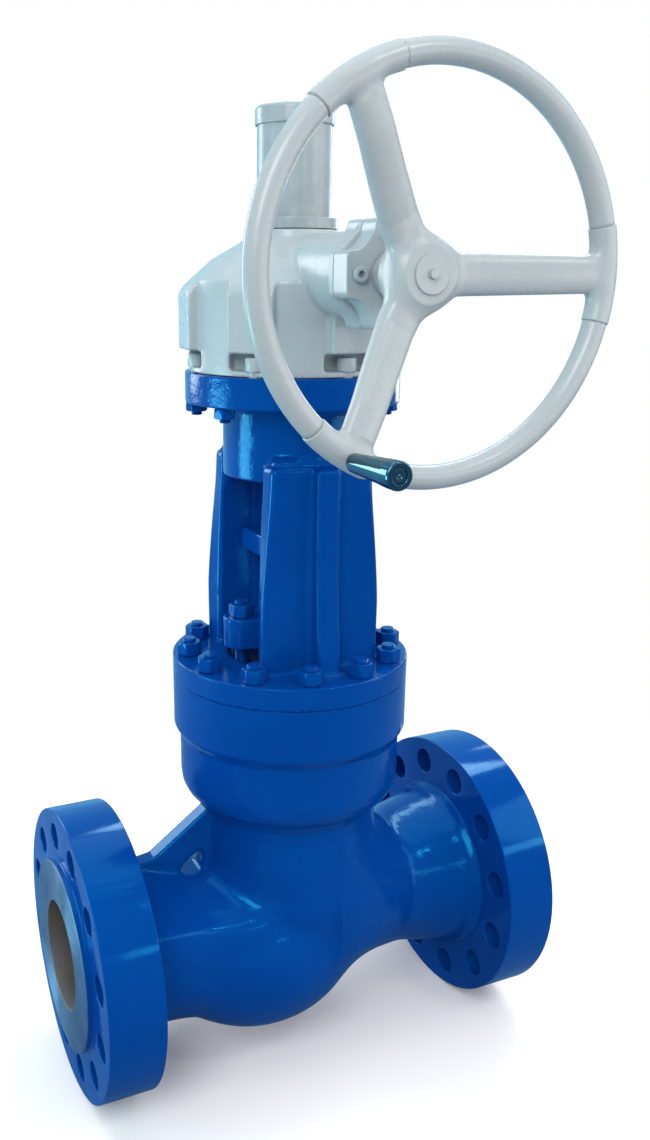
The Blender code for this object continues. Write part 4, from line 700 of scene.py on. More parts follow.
@dataclass(frozen=True)
class Metal:
    """Plain metal with a brushed or polished grain."""

    name: str
    colour: Colour
    dark: Colour
    roughness: float
    grain: float = 0.3
    metallic: float = 1.0
    relief: float = 0.0004

    def make(self) -> bpy.types.Material:
        """Builds the material."""
        g = Graph.of_material(self.name)
        cloud = g.noise(22.0, 4.0)
        grain = g.noise(380.0, 3.0, 0.6, (1, 1, 6))
        g.bump(grain * self.grain + cloud * 0.1, self.relief)
        colour = g.blend(cloud.ramp(0.35, 0.7), self.colour, self.dark)
        return g.finish(Base_Color=colour, Roughness=self.roughness + grain * 0.12 * self.grain,
                        Metallic=self.metallic)


class Coat(NamedTuple):
    """A material and the record's slot that it belongs to."""

    material: bpy.types.Material
    slot: Slot


class Finishes:
    """Every material of the valve, made once."""

    def __init__(self) -> None:
        """Builds the materials."""
        blue, blue_shade, sky = (0.0008, 0.052, 0.288), (0.0006, 0.042, 0.243), (0.03, 0.60, 1.0)
        grey, grey_shade = (0.385, 0.450, 0.470), (0.348, 0.412, 0.434)
        wheel, wheel_shade = (0.386, 0.430, 0.440), (0.357, 0.399, 0.410)
        # Darker grey that the upright streaks blend towards: drawing lines and painted reflection streaks.
        deep = tuple(0.72 * share for share in grey_shade)
        rust = (0.26, 0.20, 0.12)
        paints = {
            "cast_blue": (Slot.BLUE, Enamel("cast_blue_enamel", blue, blue_shade, 0.09, 0.95, sky)),
            "smooth_blue": (Slot.BLUE, Enamel("smooth_blue_enamel", blue, blue_shade, 0.05, 0.16, sky)),
            "cast_grey": (Slot.GREY, Enamel("cast_grey_enamel", grey, grey_shade, 0.24, 0.9)),
            "smooth_grey": (Slot.GREY, Enamel("smooth_grey_enamel", grey, grey_shade, 0.20, 0.15)),
            "wheel_grey": (Slot.GREY, Enamel("wheel_grey_enamel", wheel, wheel_shade, 0.24, 0.3)),
            # The stem cover's grey carries darker upright streaks, partly drawing lines and partly painted
            # reflection streaks.
            "drawn_and_reflection_streak_grey": (Slot.GREY, Enamel("drawn_and_reflection_streak_grey_enamel", grey, deep, 0.22, 0.15, drawn_and_reflection_streaks=0.45))}
        coats = {key: Coat(paint.make(), slot) for key, (slot, paint) in paints.items()}
        self.cast_blue, self.smooth_blue = coats["cast_blue"], coats["smooth_blue"]
        self.cast_grey, self.smooth_grey = coats["cast_grey"], coats["smooth_grey"]
        self.wheel_grey, self.drawn_and_reflection_streak_grey = coats["wheel_grey"], coats["drawn_and_reflection_streak_grey"]
        # The bare steel's dark blue-grey colour is partly the steel's own tone and partly a painted
        # reflection of the blue paint around it.
        self.face = MachinedFace("machined_face", (0.20, 0.26, 0.36), (0.12, 0.15, 0.21), rust).make()
        metals = {
            Slot.BARE: Metal("bare_steel", (0.42, 0.42, 0.43), (0.28, 0.27, 0.26), 0.32),
            Slot.TRIM: Metal("trim_steel", (0.56, 0.56, 0.57), (0.42, 0.42, 0.43), 0.22),
            # The chrome's dark teal colour is a painted reflection of the blue valve and dark surroundings,
            # not the metal's own colour.
            Slot.CHROME: Metal("chrome_with_painted_reflection", (0.075, 0.17, 0.215), (0.055, 0.135, 0.175), 0.09, 0.05),
            Slot.BRONZE: Metal("turned_bronze", (0.56, 0.37, 0.17), (0.42, 0.27, 0.12), 0.30),
            Slot.GRAPHITE: Metal("graphite", (0.045, 0.045, 0.05), (0.03, 0.03, 0.033), 0.55, 0.5, 0.0)}
        self.by_slot = {slot: Coat(metal.make(), slot) for slot, metal in metals.items()}
        self.by_slot |= {Slot.BLUE: self.smooth_blue, Slot.GREY: self.smooth_grey}


@dataclass
class Assembly:
    """Base of the sub-assemblies: dresses a piece and hangs it on its body."""

    finishes: Finishes

    def hang(self, piece: bpy.types.Object, coat: Coat, rider: Rider, *stands_for: str) -> None:
        """Gives a piece its finish and body, and hides the CAD nodes it stands for.

        Args:
            piece: The finished object.
            coat: What it wears.
            rider: The body it moves with.
            stands_for: CAD nodes that it replaces.
        """
        if not piece.data.materials:
            piece.data.materials.append(coat.material)
        if stands_for:
            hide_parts(*stands_for)
        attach(piece, rider.value)
        LOG.info("%s: %d faces", piece.name, len(piece.data.polygons))


def on_circle(radius: float, count: int, start_deg: float) -> list[tuple[float, float]]:
    """Evenly spaced places on a circle."""
    turns = [radians(start_deg + 360 * i / count) for i in range(count)]
    return [(radius * cos(t), radius * sin(t)) for t in turns]


INPUT_AXIS = Matrix.Translation((0, 0, INPUT_AXIS_HEIGHT)) @ Matrix.Rotation(radians(90), 4, "X")


# Sub-assemblies

@dataclass
class LineEnds(Assembly):
    """The two flanges, each with its raised face, drilled ring and bore."""

    rim_radius: float = 0.2413
    thickness: float = 0.0921
    face_radius: float = 0.15875
    face_height: float = 0.0111
    bolt_circle: float = 0.19685
    hole_radius: float = 0.02225
    hole_count: int = 12
    bore: float = 0.089
    chamfer: float = 0.0022
    arc_steps: int = 10

    def drilled(self, inner: float, outer: float, back: float, front: float) -> list[Array]:
        """Plate faces with holes: in each sector a grid runs from the back through the hole to the front.

        The sector's border is sampled along its two arcs and two straight sides, and each border point
        is joined to the point of the hole's edge in the same direction.
        """
        half = pi / self.hole_count
        arc = np.linspace(-half, half, self.arc_steps + 1)
        side = np.linspace(inner, outer, 7)
        reach = np.concatenate([0 * arc[1:] + outer, side[:0:-1], 0 * arc[1:] + inner, side[:-1]])
        angle = np.concatenate([arc[:-1], 0 * side[1:] + half, arc[:0:-1], 0 * side[1:] - half])
        border = np.stack([reach * np.cos(angle), reach * np.sin(angle)], -1)
        middle = np.array([self.bolt_circle, 0.0])
        way = border - middle
        way /= np.linalg.norm(way, axis=1)[:, None]
        hole = middle + self.hole_radius * way
        mouth = middle + (self.hole_radius + self.chamfer) * way
        rows = [(border, back), (mouth, back), (hole, back + self.chamfer), (hole, front - self.chamfer),
                (mouth, front), (border, front)]
        flat = np.stack([np.column_stack([xy, np.full(len(xy), z)]) for xy, z in rows])
        return [placed(flat, Matrix.Rotation(half + 2 * half * i, 4, "Z")) for i in range(self.hole_count)]

    def flange(self, name: str, side: int) -> bpy.types.Object:
        """One flange: turned rows for the bore, raised face and rim, and the drilled ring between them."""
        front = HALF_LENGTH - self.face_height
        back = front - self.thickness
        face, outer, c = self.face_radius, self.rim_radius - self.chamfer, self.chamfer * 0.6
        inner, near_rim = face + 0.0035, self.rim_radius - 0.0007
        middle = [(inner, back), (self.bore, back), (self.bore, HALF_LENGTH - c),
                  (self.bore + c, HALF_LENGTH), (face - c, HALF_LENGTH), (face, HALF_LENGTH - c),
                  (face, front + 0.0028), (face + 0.0009, front + 0.0008), (inner, front)]
        rim = [(outer, front), (near_rim, front - 0.0007), (self.rim_radius, front - self.chamfer),
               (self.rim_radius, back + self.chamfer), (near_rim, back + 0.0007), (outer, back)]
        steps = self.hole_count * self.arc_steps
        grids = [round_rows(middle, steps), round_rows(rim, steps)] + self.drilled(inner, outer, back, front)
        place = Matrix.Rotation(radians(90 * side), 4, "Y")
        thing = from_grids(name, *(placed(grid, place) for grid in grids))
        for material in (self.finishes.smooth_blue.material, self.finishes.face):
            thing.data.materials.append(material)
        centres = np.empty(len(thing.data.polygons) * 3)
        thing.data.polygons.foreach_get("center", centres)
        x, y, z = centres.reshape(-1, 3).T
        bare = (np.hypot(y, z) < face - 0.0002) & (np.abs(x) > back + 0.001)
        thing.data.polygons.foreach_set("material_index", bare.astype(np.int32))
        return thing

    def build(self) -> None:
        """Makes both flanges."""
        for name, side in (("inlet_flange", -1), ("outlet_flange", 1)):
            self.hang(self.flange(name, side), self.finishes.smooth_blue, Rider.VALVE, "body")


@dataclass
class BodyCasting(Assembly):
    """The cast body between the flanges, and the turned barrel over it."""

    neck_radius: float = 0.199
    barrel_radius: float = 0.1885
    step_height: float = 0.3587
    top: float = 0.4438
    bowl_centre: tuple[float, float, float] = (-0.0704, 0.0, -0.0409)
    bowl_radii: tuple[float, float, float] = (0.1955, 0.175, 0.161)
    seat_room_centre: tuple[float, float, float] = (-0.035, 0.0, -0.055)
    seat_room_radii: tuple[float, float, float] = (0.112, 0.104, 0.086)
    chamber_radius: float = 0.1206
    cast_end: float = 0.335
    cell: float = 0.0037

    def outside(self, p: Array) -> Array:
        """Outer form: barrel foot and pillar, bowl, both necks, hub fillets and gusset, melted together."""
        r, z = upright(p)
        x = p[:, 0]
        pillar = outline_distance(r, z, [
            (-0.1, 0.346), (0.1885, 0.346), (0.1885, 0.270), (0.1865, 0.255), (0.180, 0.241), (0.170, 0.2315),
            (0.158, 0.223), (0.151, 0.208), (0.1515, 0.187), (0.158, 0.140), (0.166, 0.060), (0.160, -0.030),
            (0.100, -0.120), (-0.1, -0.140)])
        scaled = (p - np.array(self.bowl_centre)) / np.array(self.bowl_radii)
        reach = np.linalg.norm(scaled, axis=1)
        steep = np.linalg.norm(scaled / np.array(self.bowl_radii), axis=1)
        bowl = reach * (reach - 1) / np.maximum(steep, 1e-6)
        shape = melt(pillar, bowl, 0.012)
        inlet = run_distance(p, smooth_stations([
            (-0.345, 0.0, 0.150, 0.150), (-0.318, 0.0, 0.149, 0.149), (-0.272, -0.006, 0.141, 0.146),
            (-0.215, -0.025, 0.128, 0.144), (-0.150, -0.046, 0.132, 0.148),
            (-0.090, -0.050, 0.125, 0.140)]), 1.5)
        ridge = 0.083 - 0.205 * (x + 0.29)
        crown = np.interp(x, (-0.345, -0.318, -0.272, -0.215, -0.150, -0.090),
                          (0.150, 0.149, 0.135, 0.108, 0.100, 0.094))
        chord = z - crown + (crown - ridge) * np.abs(p[:, 1]) / 0.130
        inlet = cap(inlet, chord * 0.92, 0.004)
        inlet = np.maximum(inlet, np.maximum(x + 0.08, -self.cast_end - x))
        shape = melt(shape, inlet, np.interp(z, (0.015, 0.080), (0.009, 0.058)))
        outlet = run_distance(p, smooth_stations([
            (0.000, 0.026, 0.142, 0.161), (0.060, 0.026, 0.142, 0.160), (0.110, 0.022, 0.138, 0.153),
            (0.155, 0.012, 0.128, 0.140), (0.195, 0.002, 0.121, 0.129), (0.240, 0.0, 0.131, 0.132),
            (0.295, 0.0, 0.146, 0.146), (0.345, 0.0, 0.150, 0.150)]))
        outlet = np.maximum(outlet, np.maximum(0.03 - x, x - self.cast_end))
        shape = melt(shape, outlet, 0.034)
        web = [(-0.140, 0.228), (-0.168, 0.213), (-0.258, 0.147), (-0.290, 0.142), (-0.290, 0.100),
               (-0.140, 0.060)]
        opening = [(-0.224, 0.086), (-0.217, 0.106), (-0.204, 0.122), (-0.190, 0.135), (-0.177, 0.142),
                   (-0.170, 0.138), (-0.166, 0.086)]
        gusset = slab(outline_distance(x, z, web), p[:, 1], 0.016, 0.005)
        gusset = carve(gusset, outline_distance(x, z, opening), 0.008)
        shape = melt(shape, gusset, 0.014)
        for side in (-1, 1):
            plate = slab(np.hypot(p[:, 1], z) - 0.152, x - side * 0.3285, 0.0105, 0.002)
            shape = melt(shape, plate, 0.026)
        return shape

    def inside(self, p: Array) -> Array:
        """Everything hollow: both passages and the bored chamber."""
        r, z = upright(p)
        x = p[:, 0]
        inlet = run_distance(p, np.array([
            (-0.5, 0.0, 0.0893, 0.0893), (-0.320, 0.0, 0.0893, 0.0893), (-0.270, -0.006, 0.087, 0.090),
            (-0.220, -0.022, 0.082, 0.092), (-0.130, -0.058, 0.068, 0.096), (-0.045, -0.070, 0.062, 0.094)]))
        inlet = np.maximum(inlet, x + 0.045)
        under_seat = (p - np.array(self.seat_room_centre)) / np.array(self.seat_room_radii)
        under = (np.linalg.norm(under_seat, axis=1) - 1) * min(self.seat_room_radii)
        outlet = run_distance(p, np.array([
            (0.040, 0.120, 0.056, 0.084), (0.098, 0.106, 0.050, 0.090), (0.132, 0.076, 0.045, 0.092),
            (0.176, 0.036, 0.060, 0.092), (0.226, 0.009, 0.080, 0.090), (0.285, 0.0, 0.0893, 0.0893),
            (0.5, 0.0, 0.0893, 0.0893)]))
        outlet = np.maximum(outlet, 0.04 - x)
        chamber = outline_distance(r, z, [
            (-0.1, 0.5), (0.1206, 0.5), (0.1206, 0.356), (0.1346, 0.356), (0.1346, 0.330), (0.1206, 0.330),
            (0.1206, 0.2144), (0.112, 0.2144), (0.112, 0.0578), (0.1046, 0.0578), (0.1046, 0.0350),
            (0.084, 0.0350), (0.084, -0.040), (-0.1, -0.040)])
        return np.minimum(np.minimum(melt(inlet, under, 0.02), outlet), chamber)

    def shape(self, p: Array) -> Array:
        """Outer form without what is hollow, cut flat at its ends and its top."""
        solid = np.maximum(self.outside(p), -self.inside(p))
        return np.maximum(solid, np.maximum(np.abs(p[:, 0]) - self.cast_end, p[:, 2] - 0.345))

    def build(self) -> None:
        """Makes the casting and the barrel."""
        casting = skin("body_casting", self.shape, (-0.345, -0.19, -0.215), (0.345, 0.19, 0.350), self.cell)
        self.hang(casting, self.finishes.cast_blue, Rider.VALVE, "body")
        neck, wall = self.neck_radius, self.barrel_radius + 0.0002
        bore, top, step = self.chamber_radius, self.top, self.step_height
        barrel = turned("body_barrel", [
            (bore, top), (neck, top), (neck, step), (neck - 0.0022, step - 0.005),
            (wall + 0.0014, step - 0.015), (wall, step - 0.020), (wall, 0.315), (wall - 0.006, 0.315),
            (wall - 0.006, 0.340), (bore, 0.340)], 0.0005, 128)
        self.hang(barrel, self.finishes.smooth_blue, Rider.VALVE, "body")


@dataclass
class Yoke(Assembly):
    """Yoke casting with its two ribbed legs, collar and top plate."""

    leg_heights: tuple[float, ...] = (0.440, 0.475, 0.560, 0.605, 0.680, 0.765, 0.829, 0.860)
    leg_widths: tuple[float, ...] = (0.103, 0.104, 0.1055, 0.1045, 0.098, 0.0890, 0.0855, 0.0845)
    lean_heights: tuple[float, ...] = (0.48, 0.55, 0.605, 0.64, 0.685, 0.745, 0.81)
    leans: tuple[float, ...] = (0.22, 0.29, 0.28, 0.20, 0.10, -0.05, -0.08)
    cell: float = 0.0032

    def shape(self, p: Array) -> Array:
        """Base ring, legs with rib and guide face, collar and plate, melted where they meet."""
        r, z = upright(p)
        base = outline_distance(r, z, [(0.0693, 0.4447), (0.1978, 0.4447), (0.1978, 0.4798), (0.1065, 0.4798),
                                       (0.1065, 0.459), (0.0693, 0.459)]) - 0.0012
        head = outline_distance(r, z, [
            (0.038, 0.802), (0.066, 0.788), (0.109, 0.788), (0.109, 0.890), (0.114, 0.903), (0.1690, 0.9045),
            (0.1690, 0.9475), (0.069, 0.9475), (0.069, 0.937), (0.038, 0.937)]) - 0.0025
        x, y = np.abs(p[:, 0]), np.abs(p[:, 1])
        table = smooth_stations(tuple(zip(self.leg_heights, self.leg_widths)), 64)
        width = np.interp(z, table[:, 0], table[:, 1])
        rise = np.clip((z - 0.475) / 0.354, 0, 1)
        rib = 0.153 - 0.016 * np.minimum(1, 2 * rise) ** 0.7
        lean = width + np.minimum(y - 0.115, 0) * np.interp(z, self.lean_heights, self.leans)
        leg = rounded(0.007, x - lean, np.abs(y - 0.0975) - 0.0175)
        spine = rounded(0.008, x - 0.020, np.abs(y - (0.09 + rib) / 2) - (rib - 0.09) / 2)
        leg = melt(leg, spine, 0.013)
        leg = cap(leg, np.maximum(0.470 - z, z - 0.8105), 0.007)
        slope = 0.2 * np.maximum(z - 0.808, 0)
        ledge = box_distance(x + slope, y - 0.095, z - 0.790, (0.0815, 0.0145, 0.036), 0.009)
        leg = melt(leg, ledge, 0.013)
        guide = np.maximum(x - 0.034, np.maximum(0.072 - y, y - 0.09))
        guide = np.maximum(guide, np.maximum(0.47 - z, z - 0.80))
        shape = melt(np.minimum(leg, guide), base, 0.008)
        return melt(shape, head, 0.007)

    def build(self) -> None:
        """Makes the yoke."""
        yoke = skin("yoke_casting", self.shape, (-0.205, -0.205, 0.438), (0.205, 0.205, 0.956), self.cell)
        self.hang(yoke, self.finishes.cast_blue, Rider.VALVE, "yoke")


@dataclass
class Fasteners(Assembly):
    """Studs with nuts, and socket-head screws."""

    pitch: float = 0.0025
    groove: float = 0.0012
    shank_radius: float = 0.0095
    head_radius: float = 0.0145
    head_bottom: float = 0.9596
    head_top: float = 0.9796
    key_half: float = 0.006

    def stud(self, name: str, place: tuple[float, float], radius: float, low: float, high: float,
             nut: tuple[float, float, float], turn_deg: float, *stands_for: str) -> None:
        """One stud and its nut, as two pieces.

        Args:
            name: Name of the stud, and of the nut before "_nut".
            place: X and Y of its axis.
            radius: Stud radius.
            low: Bottom of the stud.
            high: Top of the stud.
            nut: Width across flats, bottom and top of the nut.
            turn_deg: How far the hexagon is turned.
            stands_for: CAD nodes that it replaces.
        """
        spin = Matrix.Translation((*place, 0)) @ Matrix.Rotation(radians(turn_deg), 4, "Z")
        rod = thread_grid(radius, self.pitch, self.groove, low, high)
        for thing, grid in ((name, rod), (f"{name}_nut", hex_nut_grid(*nut))):
            piece = from_grids(thing, placed(grid, spin))
            self.hang(piece, self.finishes.smooth_blue, Rider.VALVE, *stands_for)

    def socket_screw(self, name: str, place: tuple[float, float], low: float, stands_for: str) -> None:
        """Socket-head screw with its hexagon recess: head wall, rim, hexagon wall and floor in one sweep."""
        key, radius, top = hexagon(self.key_half, 48), self.head_radius, self.head_top
        rows = [(0, low), (self.shank_radius, low), (self.shank_radius, self.head_bottom),
                (radius, self.head_bottom), (radius, top - 0.002), (radius - 0.002, top), (key + 0.0006, top),
                (key, top - 0.0006), (key, top - 0.010), (0, top - 0.011)]
        piece = from_grids(name, round_rows(rows, 48) + np.array((*place, 0.0)))
        self.hang(piece, self.finishes.smooth_grey, Rider.VALVE, stands_for)

    def build(self) -> None:
        """Makes every stud and screw."""
        for i, place in enumerate(on_circle(0.172, 12, 15.0)):
            self.stud(f"yoke_stud_{i + 1:02d}", place, 0.0115, 0.4035, 0.5095, (0.036, 0.4816, 0.5036),
                      17.0 * i, f"bonnet_stud_{i + 1:02d}")
        for i, side in enumerate((-1, 1)):
            self.stud(f"gland_bolt_{i + 1:02d}", (side * 0.090, 0), 0.011, 0.3935, 0.5781,
                      (0.036, 0.5518, 0.5719), 11.0 * i, f"gland_stud_{i + 1:02d}")
        for i, turn in enumerate((27, 153, 207, 333)):
            self.stud(f"well_bolt_{i + 1:02d}", on_circle(0.094, 1, turn)[0], 0.0065, 0.4595, 0.4815,
                      (0.018, 0.4597, 0.4725), 7.0 * i)
        screws = on_circle(SCREW_CIRCLE, COLUMN_COUNT, COLUMN_START_DEG)
        ring = on_circle(0.1535, 8, 22.5)
        studs = [s for s in ring if all(hypot(s[0] - t[0], s[1] - t[1]) > 0.020 for t in screws)]
        through = [t for t in screws if any(hypot(s[0] - t[0], s[1] - t[1]) <= 0.020 for s in ring)]
        blind = [t for t in screws if t not in through]
        nut = (0.030, PLATE_BOTTOM - 0.0163, PLATE_BOTTOM - 0.0003)
        for i, place in enumerate(blind):
            node = f"gearbox_screw_{i + 1:02d}"
            self.socket_screw(f"column_screw_{i + 1:02d}", place, PLATE_TOP - 0.0297, node)
        for i, place in enumerate(through):
            node = f"gearbox_through_bolt_{i + 1:02d}"
            self.socket_screw(f"column_bolt_{i + 1:02d}", place, PLATE_BOTTOM - 0.0220, node)
            spin = Matrix.Translation((*place, 0)) @ Matrix.Rotation(radians(9), 4, "Z")
            piece = from_grids(f"column_bolt_nut_{i + 1:02d}", placed(hex_nut_grid(*nut), spin))
            self.hang(piece, self.finishes.smooth_blue, Rider.VALVE, node)
        for i, place in enumerate(studs):
            self.stud(f"under_plate_stud_{i + 1:02d}", place, 0.009, PLATE_BOTTOM - 0.0223, 0.9573, nut,
                      13.0 * i, f"plate_stud_{i + 1:02d}")


@dataclass
class Gland(Assembly):
    """Oval gland flange."""

    reach: float = 0.090
    ear: float = 0.030
    middle: float = 0.050
    bore: float = 0.0305
    low: float = 0.5003
    high: float = 0.5513

    def build(self) -> None:
        """Sweeps the outline of two ears and a round middle up, with a bore for the stem."""
        angle = 2 * pi * np.arange(96) / 96
        ways = circle_ways(96)
        far = np.abs(ways[:, 0]) * self.reach + self.ear
        support = np.maximum(far, self.middle)
        turn = np.gradient(support, angle)
        outline = support[:, None] * ways + turn[:, None] * np.stack([-ways[:, 1], ways[:, 0]], -1)
        solid = prism_grid(outline, self.low, self.high, 0.0035)
        bore = round_rows([(self.bore, self.low), (self.bore, self.high), (self.bore, self.low)], 96)
        piece = from_grids("gland_bridge", np.concatenate([bore[:1], solid[1:-1], bore[1:]]))
        self.hang(piece, self.finishes.smooth_blue, Rider.VALVE, "gland_flange")


@dataclass
class Stem(Assembly):
    """Rising stem with its left-hand thread, and the guide block on it."""

    radius: float = 0.0275
    head_radius: float = 0.036

    def build(self) -> None:
        """Makes the stem's shank, head and thread, and the guide block."""
        rod, head = self.radius, self.head_radius
        shank = round_rows([
            (0, 0.0786), (head, 0.0786), (head, 0.0946), (rod, 0.0946), (rod, 0.1327), (head, 0.1367),
            (head, 0.1447), (rod, 0.1547), (rod, 0.6995), (rod - 0.0026, 0.7005), (0, 0.7005)], 48)
        thread = thread_grid(rod, 0.010, 0.0026, 0.700, 1.230, 48, -1)
        for name, grid in (("stem_shank", shank), ("stem_thread", thread)):
            self.hang(from_grids(name, grid), self.finishes.by_slot[Slot.TRIM], Rider.STEM, "stem")
        outline = [(0.056, -0.078), (0.056, 0.078), (0.0353, 0.078), (0.0353, 0.0717), (-0.0353, 0.0717),
                   (-0.0353, 0.078), (-0.056, 0.078), (-0.056, -0.078), (-0.0353, -0.078), (-0.0353, -0.0717),
                   (0.0353, -0.0717), (0.0353, -0.078)]

        def block(p: Array) -> Array:
            """The block's plate without the stem's bore."""
            r, z = upright(p)
            plate = slab(outline_distance(p[:, 0], p[:, 1], outline), z - 0.666, 0.018, 0.003)
            return np.maximum(plate, 0.0278 - r)

        guide = skin("stem_guide_block", block, (-0.06, -0.082, 0.644), (0.06, 0.082, 0.688), 0.002)
        self.hang(guide, self.finishes.smooth_blue, Rider.STEM, "stem_guide")


@dataclass
class Gearbox(Assembly):
    """Cast gearbox housing with its flat-faced columns, conical roof and input horn, and the input cover."""

    wall: float = 0.1645
    column_half: float = 0.036
    horn_radius: float = 0.0595
    horn_end: float = -0.2515
    lobe_reach: float = -0.205
    cell: float = 0.0031

    def lobes(self, u: Array, v: Array) -> Array:
        """Cover's outline: a disc melted with two tall lobes at the sides and one each above and below."""
        one = np.zeros_like(u)
        side = box_distance(np.abs(u) - 0.044, v, one, (0.0205, 0.031, 1.0), 0.009)
        tall = box_distance(u, np.abs(v) - 0.051, one, (0.0215, 0.0215, 1.0), 0.009)
        return melt(melt(np.hypot(u, v) - 0.0525, side, 0.010), tall, 0.022)

    def shape(self, p: Array) -> Array:
        """Wall, columns under the roof envelope, and horn, less the gear cavity and the screw pockets."""
        r, z = upright(p)
        shape = slab(r - self.wall, z - (HOUSING_BOTTOM + 0.1065), 0.1065, 0.002)
        pockets = np.full(len(p), 1.0)
        for x, y in on_circle(1.0, COLUMN_COUNT, COLUMN_START_DEG):
            along = p[:, 0] * x + p[:, 1] * y
            aside = p[:, 1] * x - p[:, 0] * y
            column = box_distance(along - 0.1485, aside, z - 1.052, (0.0285, self.column_half, 0.068), 0.004)
            shape = melt(shape, column, 0.005)
            pocket = box_distance(along - 0.1895, aside, z - 0.97155, (0.050, 0.040, 0.0125), 0.006)
            pockets = np.minimum(pockets, pocket)
        envelope = outline_distance(r, z, [
            (-0.1, 1.1634), (0.070, 1.1634), (0.074, 1.150), (0.090, 1.1405), (0.128, 1.119), (0.170, 1.082),
            (0.200, 1.0415), (0.200, 0.90), (-0.1, 0.90)])
        shape = cap(shape, envelope, 0.003)
        off = np.hypot(p[:, 0], z - INPUT_AXIS_HEIGHT)
        horn = slab(off - self.horn_radius, p[:, 1] + 0.155, -self.horn_end - 0.155, 0.0015)
        middle, half = (self.horn_end + self.lobe_reach) / 2, (self.lobe_reach - self.horn_end) / 2
        lobed = box_distance(p[:, 0], p[:, 1] - middle, np.abs(z - INPUT_AXIS_HEIGHT) - 0.045,
                             (0.0215, half, 0.0275), 0.007)
        lobes = self.lobes(p[:, 0], z - INPUT_AXIS_HEIGHT)
        collar = slab(lobes, p[:, 1] - self.horn_end - 0.006, 0.006, 0.0008)
        shape = melt(melt(shape, horn, 0.008), np.minimum(lobed, collar), 0.012)
        shape = carve(shape, pockets, 0.004)
        cavity = outline_distance(r, z, [
            (-0.1, 1.20), (0.042, 1.20), (0.042, 1.1363), (0.0668, 1.1363), (0.0668, 1.126), (0.100, 1.112),
            (0.142, 1.074), (0.142, 1.004), (0.130, 0.992), (0.130, 0.90), (-0.1, 0.90)])
        bore = np.maximum(off - 0.038, np.maximum(-0.30 - p[:, 1], p[:, 1] + 0.147))
        room = np.maximum(off - 0.0475, np.maximum(-0.148 - p[:, 1], p[:, 1] + 0.078))
        shape = np.maximum(shape, -np.minimum(np.minimum(cavity, bore), room))
        return np.maximum(shape, HOUSING_BOTTOM - z)

    def cover_outline(self, count: int = 192) -> Array:
        """Reach of the lobed outline along each direction, halved in on from both sides."""
        ways = circle_ways(count)
        low, high = np.zeros(count), np.full(count, 0.12)
        for _ in range(22):
            reach = (low + high) / 2
            within = self.lobes(*(reach * ways.T)) < 0
            low, high = np.where(within, reach, low), np.where(within, high, reach)
        return low[:, None] * ways

    def build(self) -> None:
        """Makes the housing, the cover and its screws."""
        housing = skin("gearbox_casting", self.shape, (-0.20, -0.258, 0.945), (0.20, 0.20, 1.170), self.cell)
        self.hang(housing, self.finishes.cast_grey, Rider.VALVE, "gearbox_housing")
        low = -self.horn_end + 0.0003
        high = low + 0.038
        outline = self.cover_outline()
        wall = prism_grid(outline, low, high, 0.0018)[1:-1]
        inner = round_rows([(0.0377, low), (0.0256, high), (0.0247, high - 0.001), (0.0247, low - 0.010),
                            (0.0377, low - 0.010), (0.0377, low)], len(outline))
        cover = from_grids("horn_cover", placed(np.concatenate([inner[:1], wall, inner[1:]]), INPUT_AXIS))
        self.hang(cover, self.finishes.smooth_grey, Rider.VALVE, "input_cover")
        key = hexagon(0.0048, 36)
        head = round_rows([(0, high - 0.004), (0.0105, high - 0.004), (0.0105, high + 0.0075),
                           (0.0093, high + 0.0087), (key + 0.0004, high + 0.0087), (key, high + 0.0083),
                           (key, high + 0.0005), (0, high)], 36)
        for i, (x, y) in enumerate(((0.0465, 0.0), (0.0, 0.0545), (-0.0465, 0.0), (0.0, -0.0545))):
            piece = from_grids(f"cover_screw_{i + 1:02d}", placed(head + np.array((x, y, 0.0)), INPUT_AXIS))
            self.hang(piece, self.finishes.smooth_grey, Rider.VALVE)


@dataclass
class StemCover(Assembly):
    """Tube over the stem with its collar and cap."""

    def build(self) -> None:
        """Turns the tube and the cap."""
        tube = turned("cover_tube", [(0.052, 1.1637), (0.068, 1.1637), (0.068, 1.1797), (0.057, 1.1797),
                                     (0.057, 1.330), (0.052, 1.330)], 0.0012, 96)
        self.hang(tube, self.finishes.drawn_and_reflection_streak_grey, Rider.VALVE, "stem_cover_tube")
        lid = turned("cover_cap", [
            (0, 1.343), (0.038, 1.343), (0.057, 1.3395), (0.060, 1.3355), (0.060, 1.313), (0.0573, 1.313),
            (0.0573, 1.3303), (0, 1.3303)], 0.0015, 96)
        self.hang(lid, self.finishes.drawn_and_reflection_streak_grey, Rider.VALVE, "stem_cover_cap")


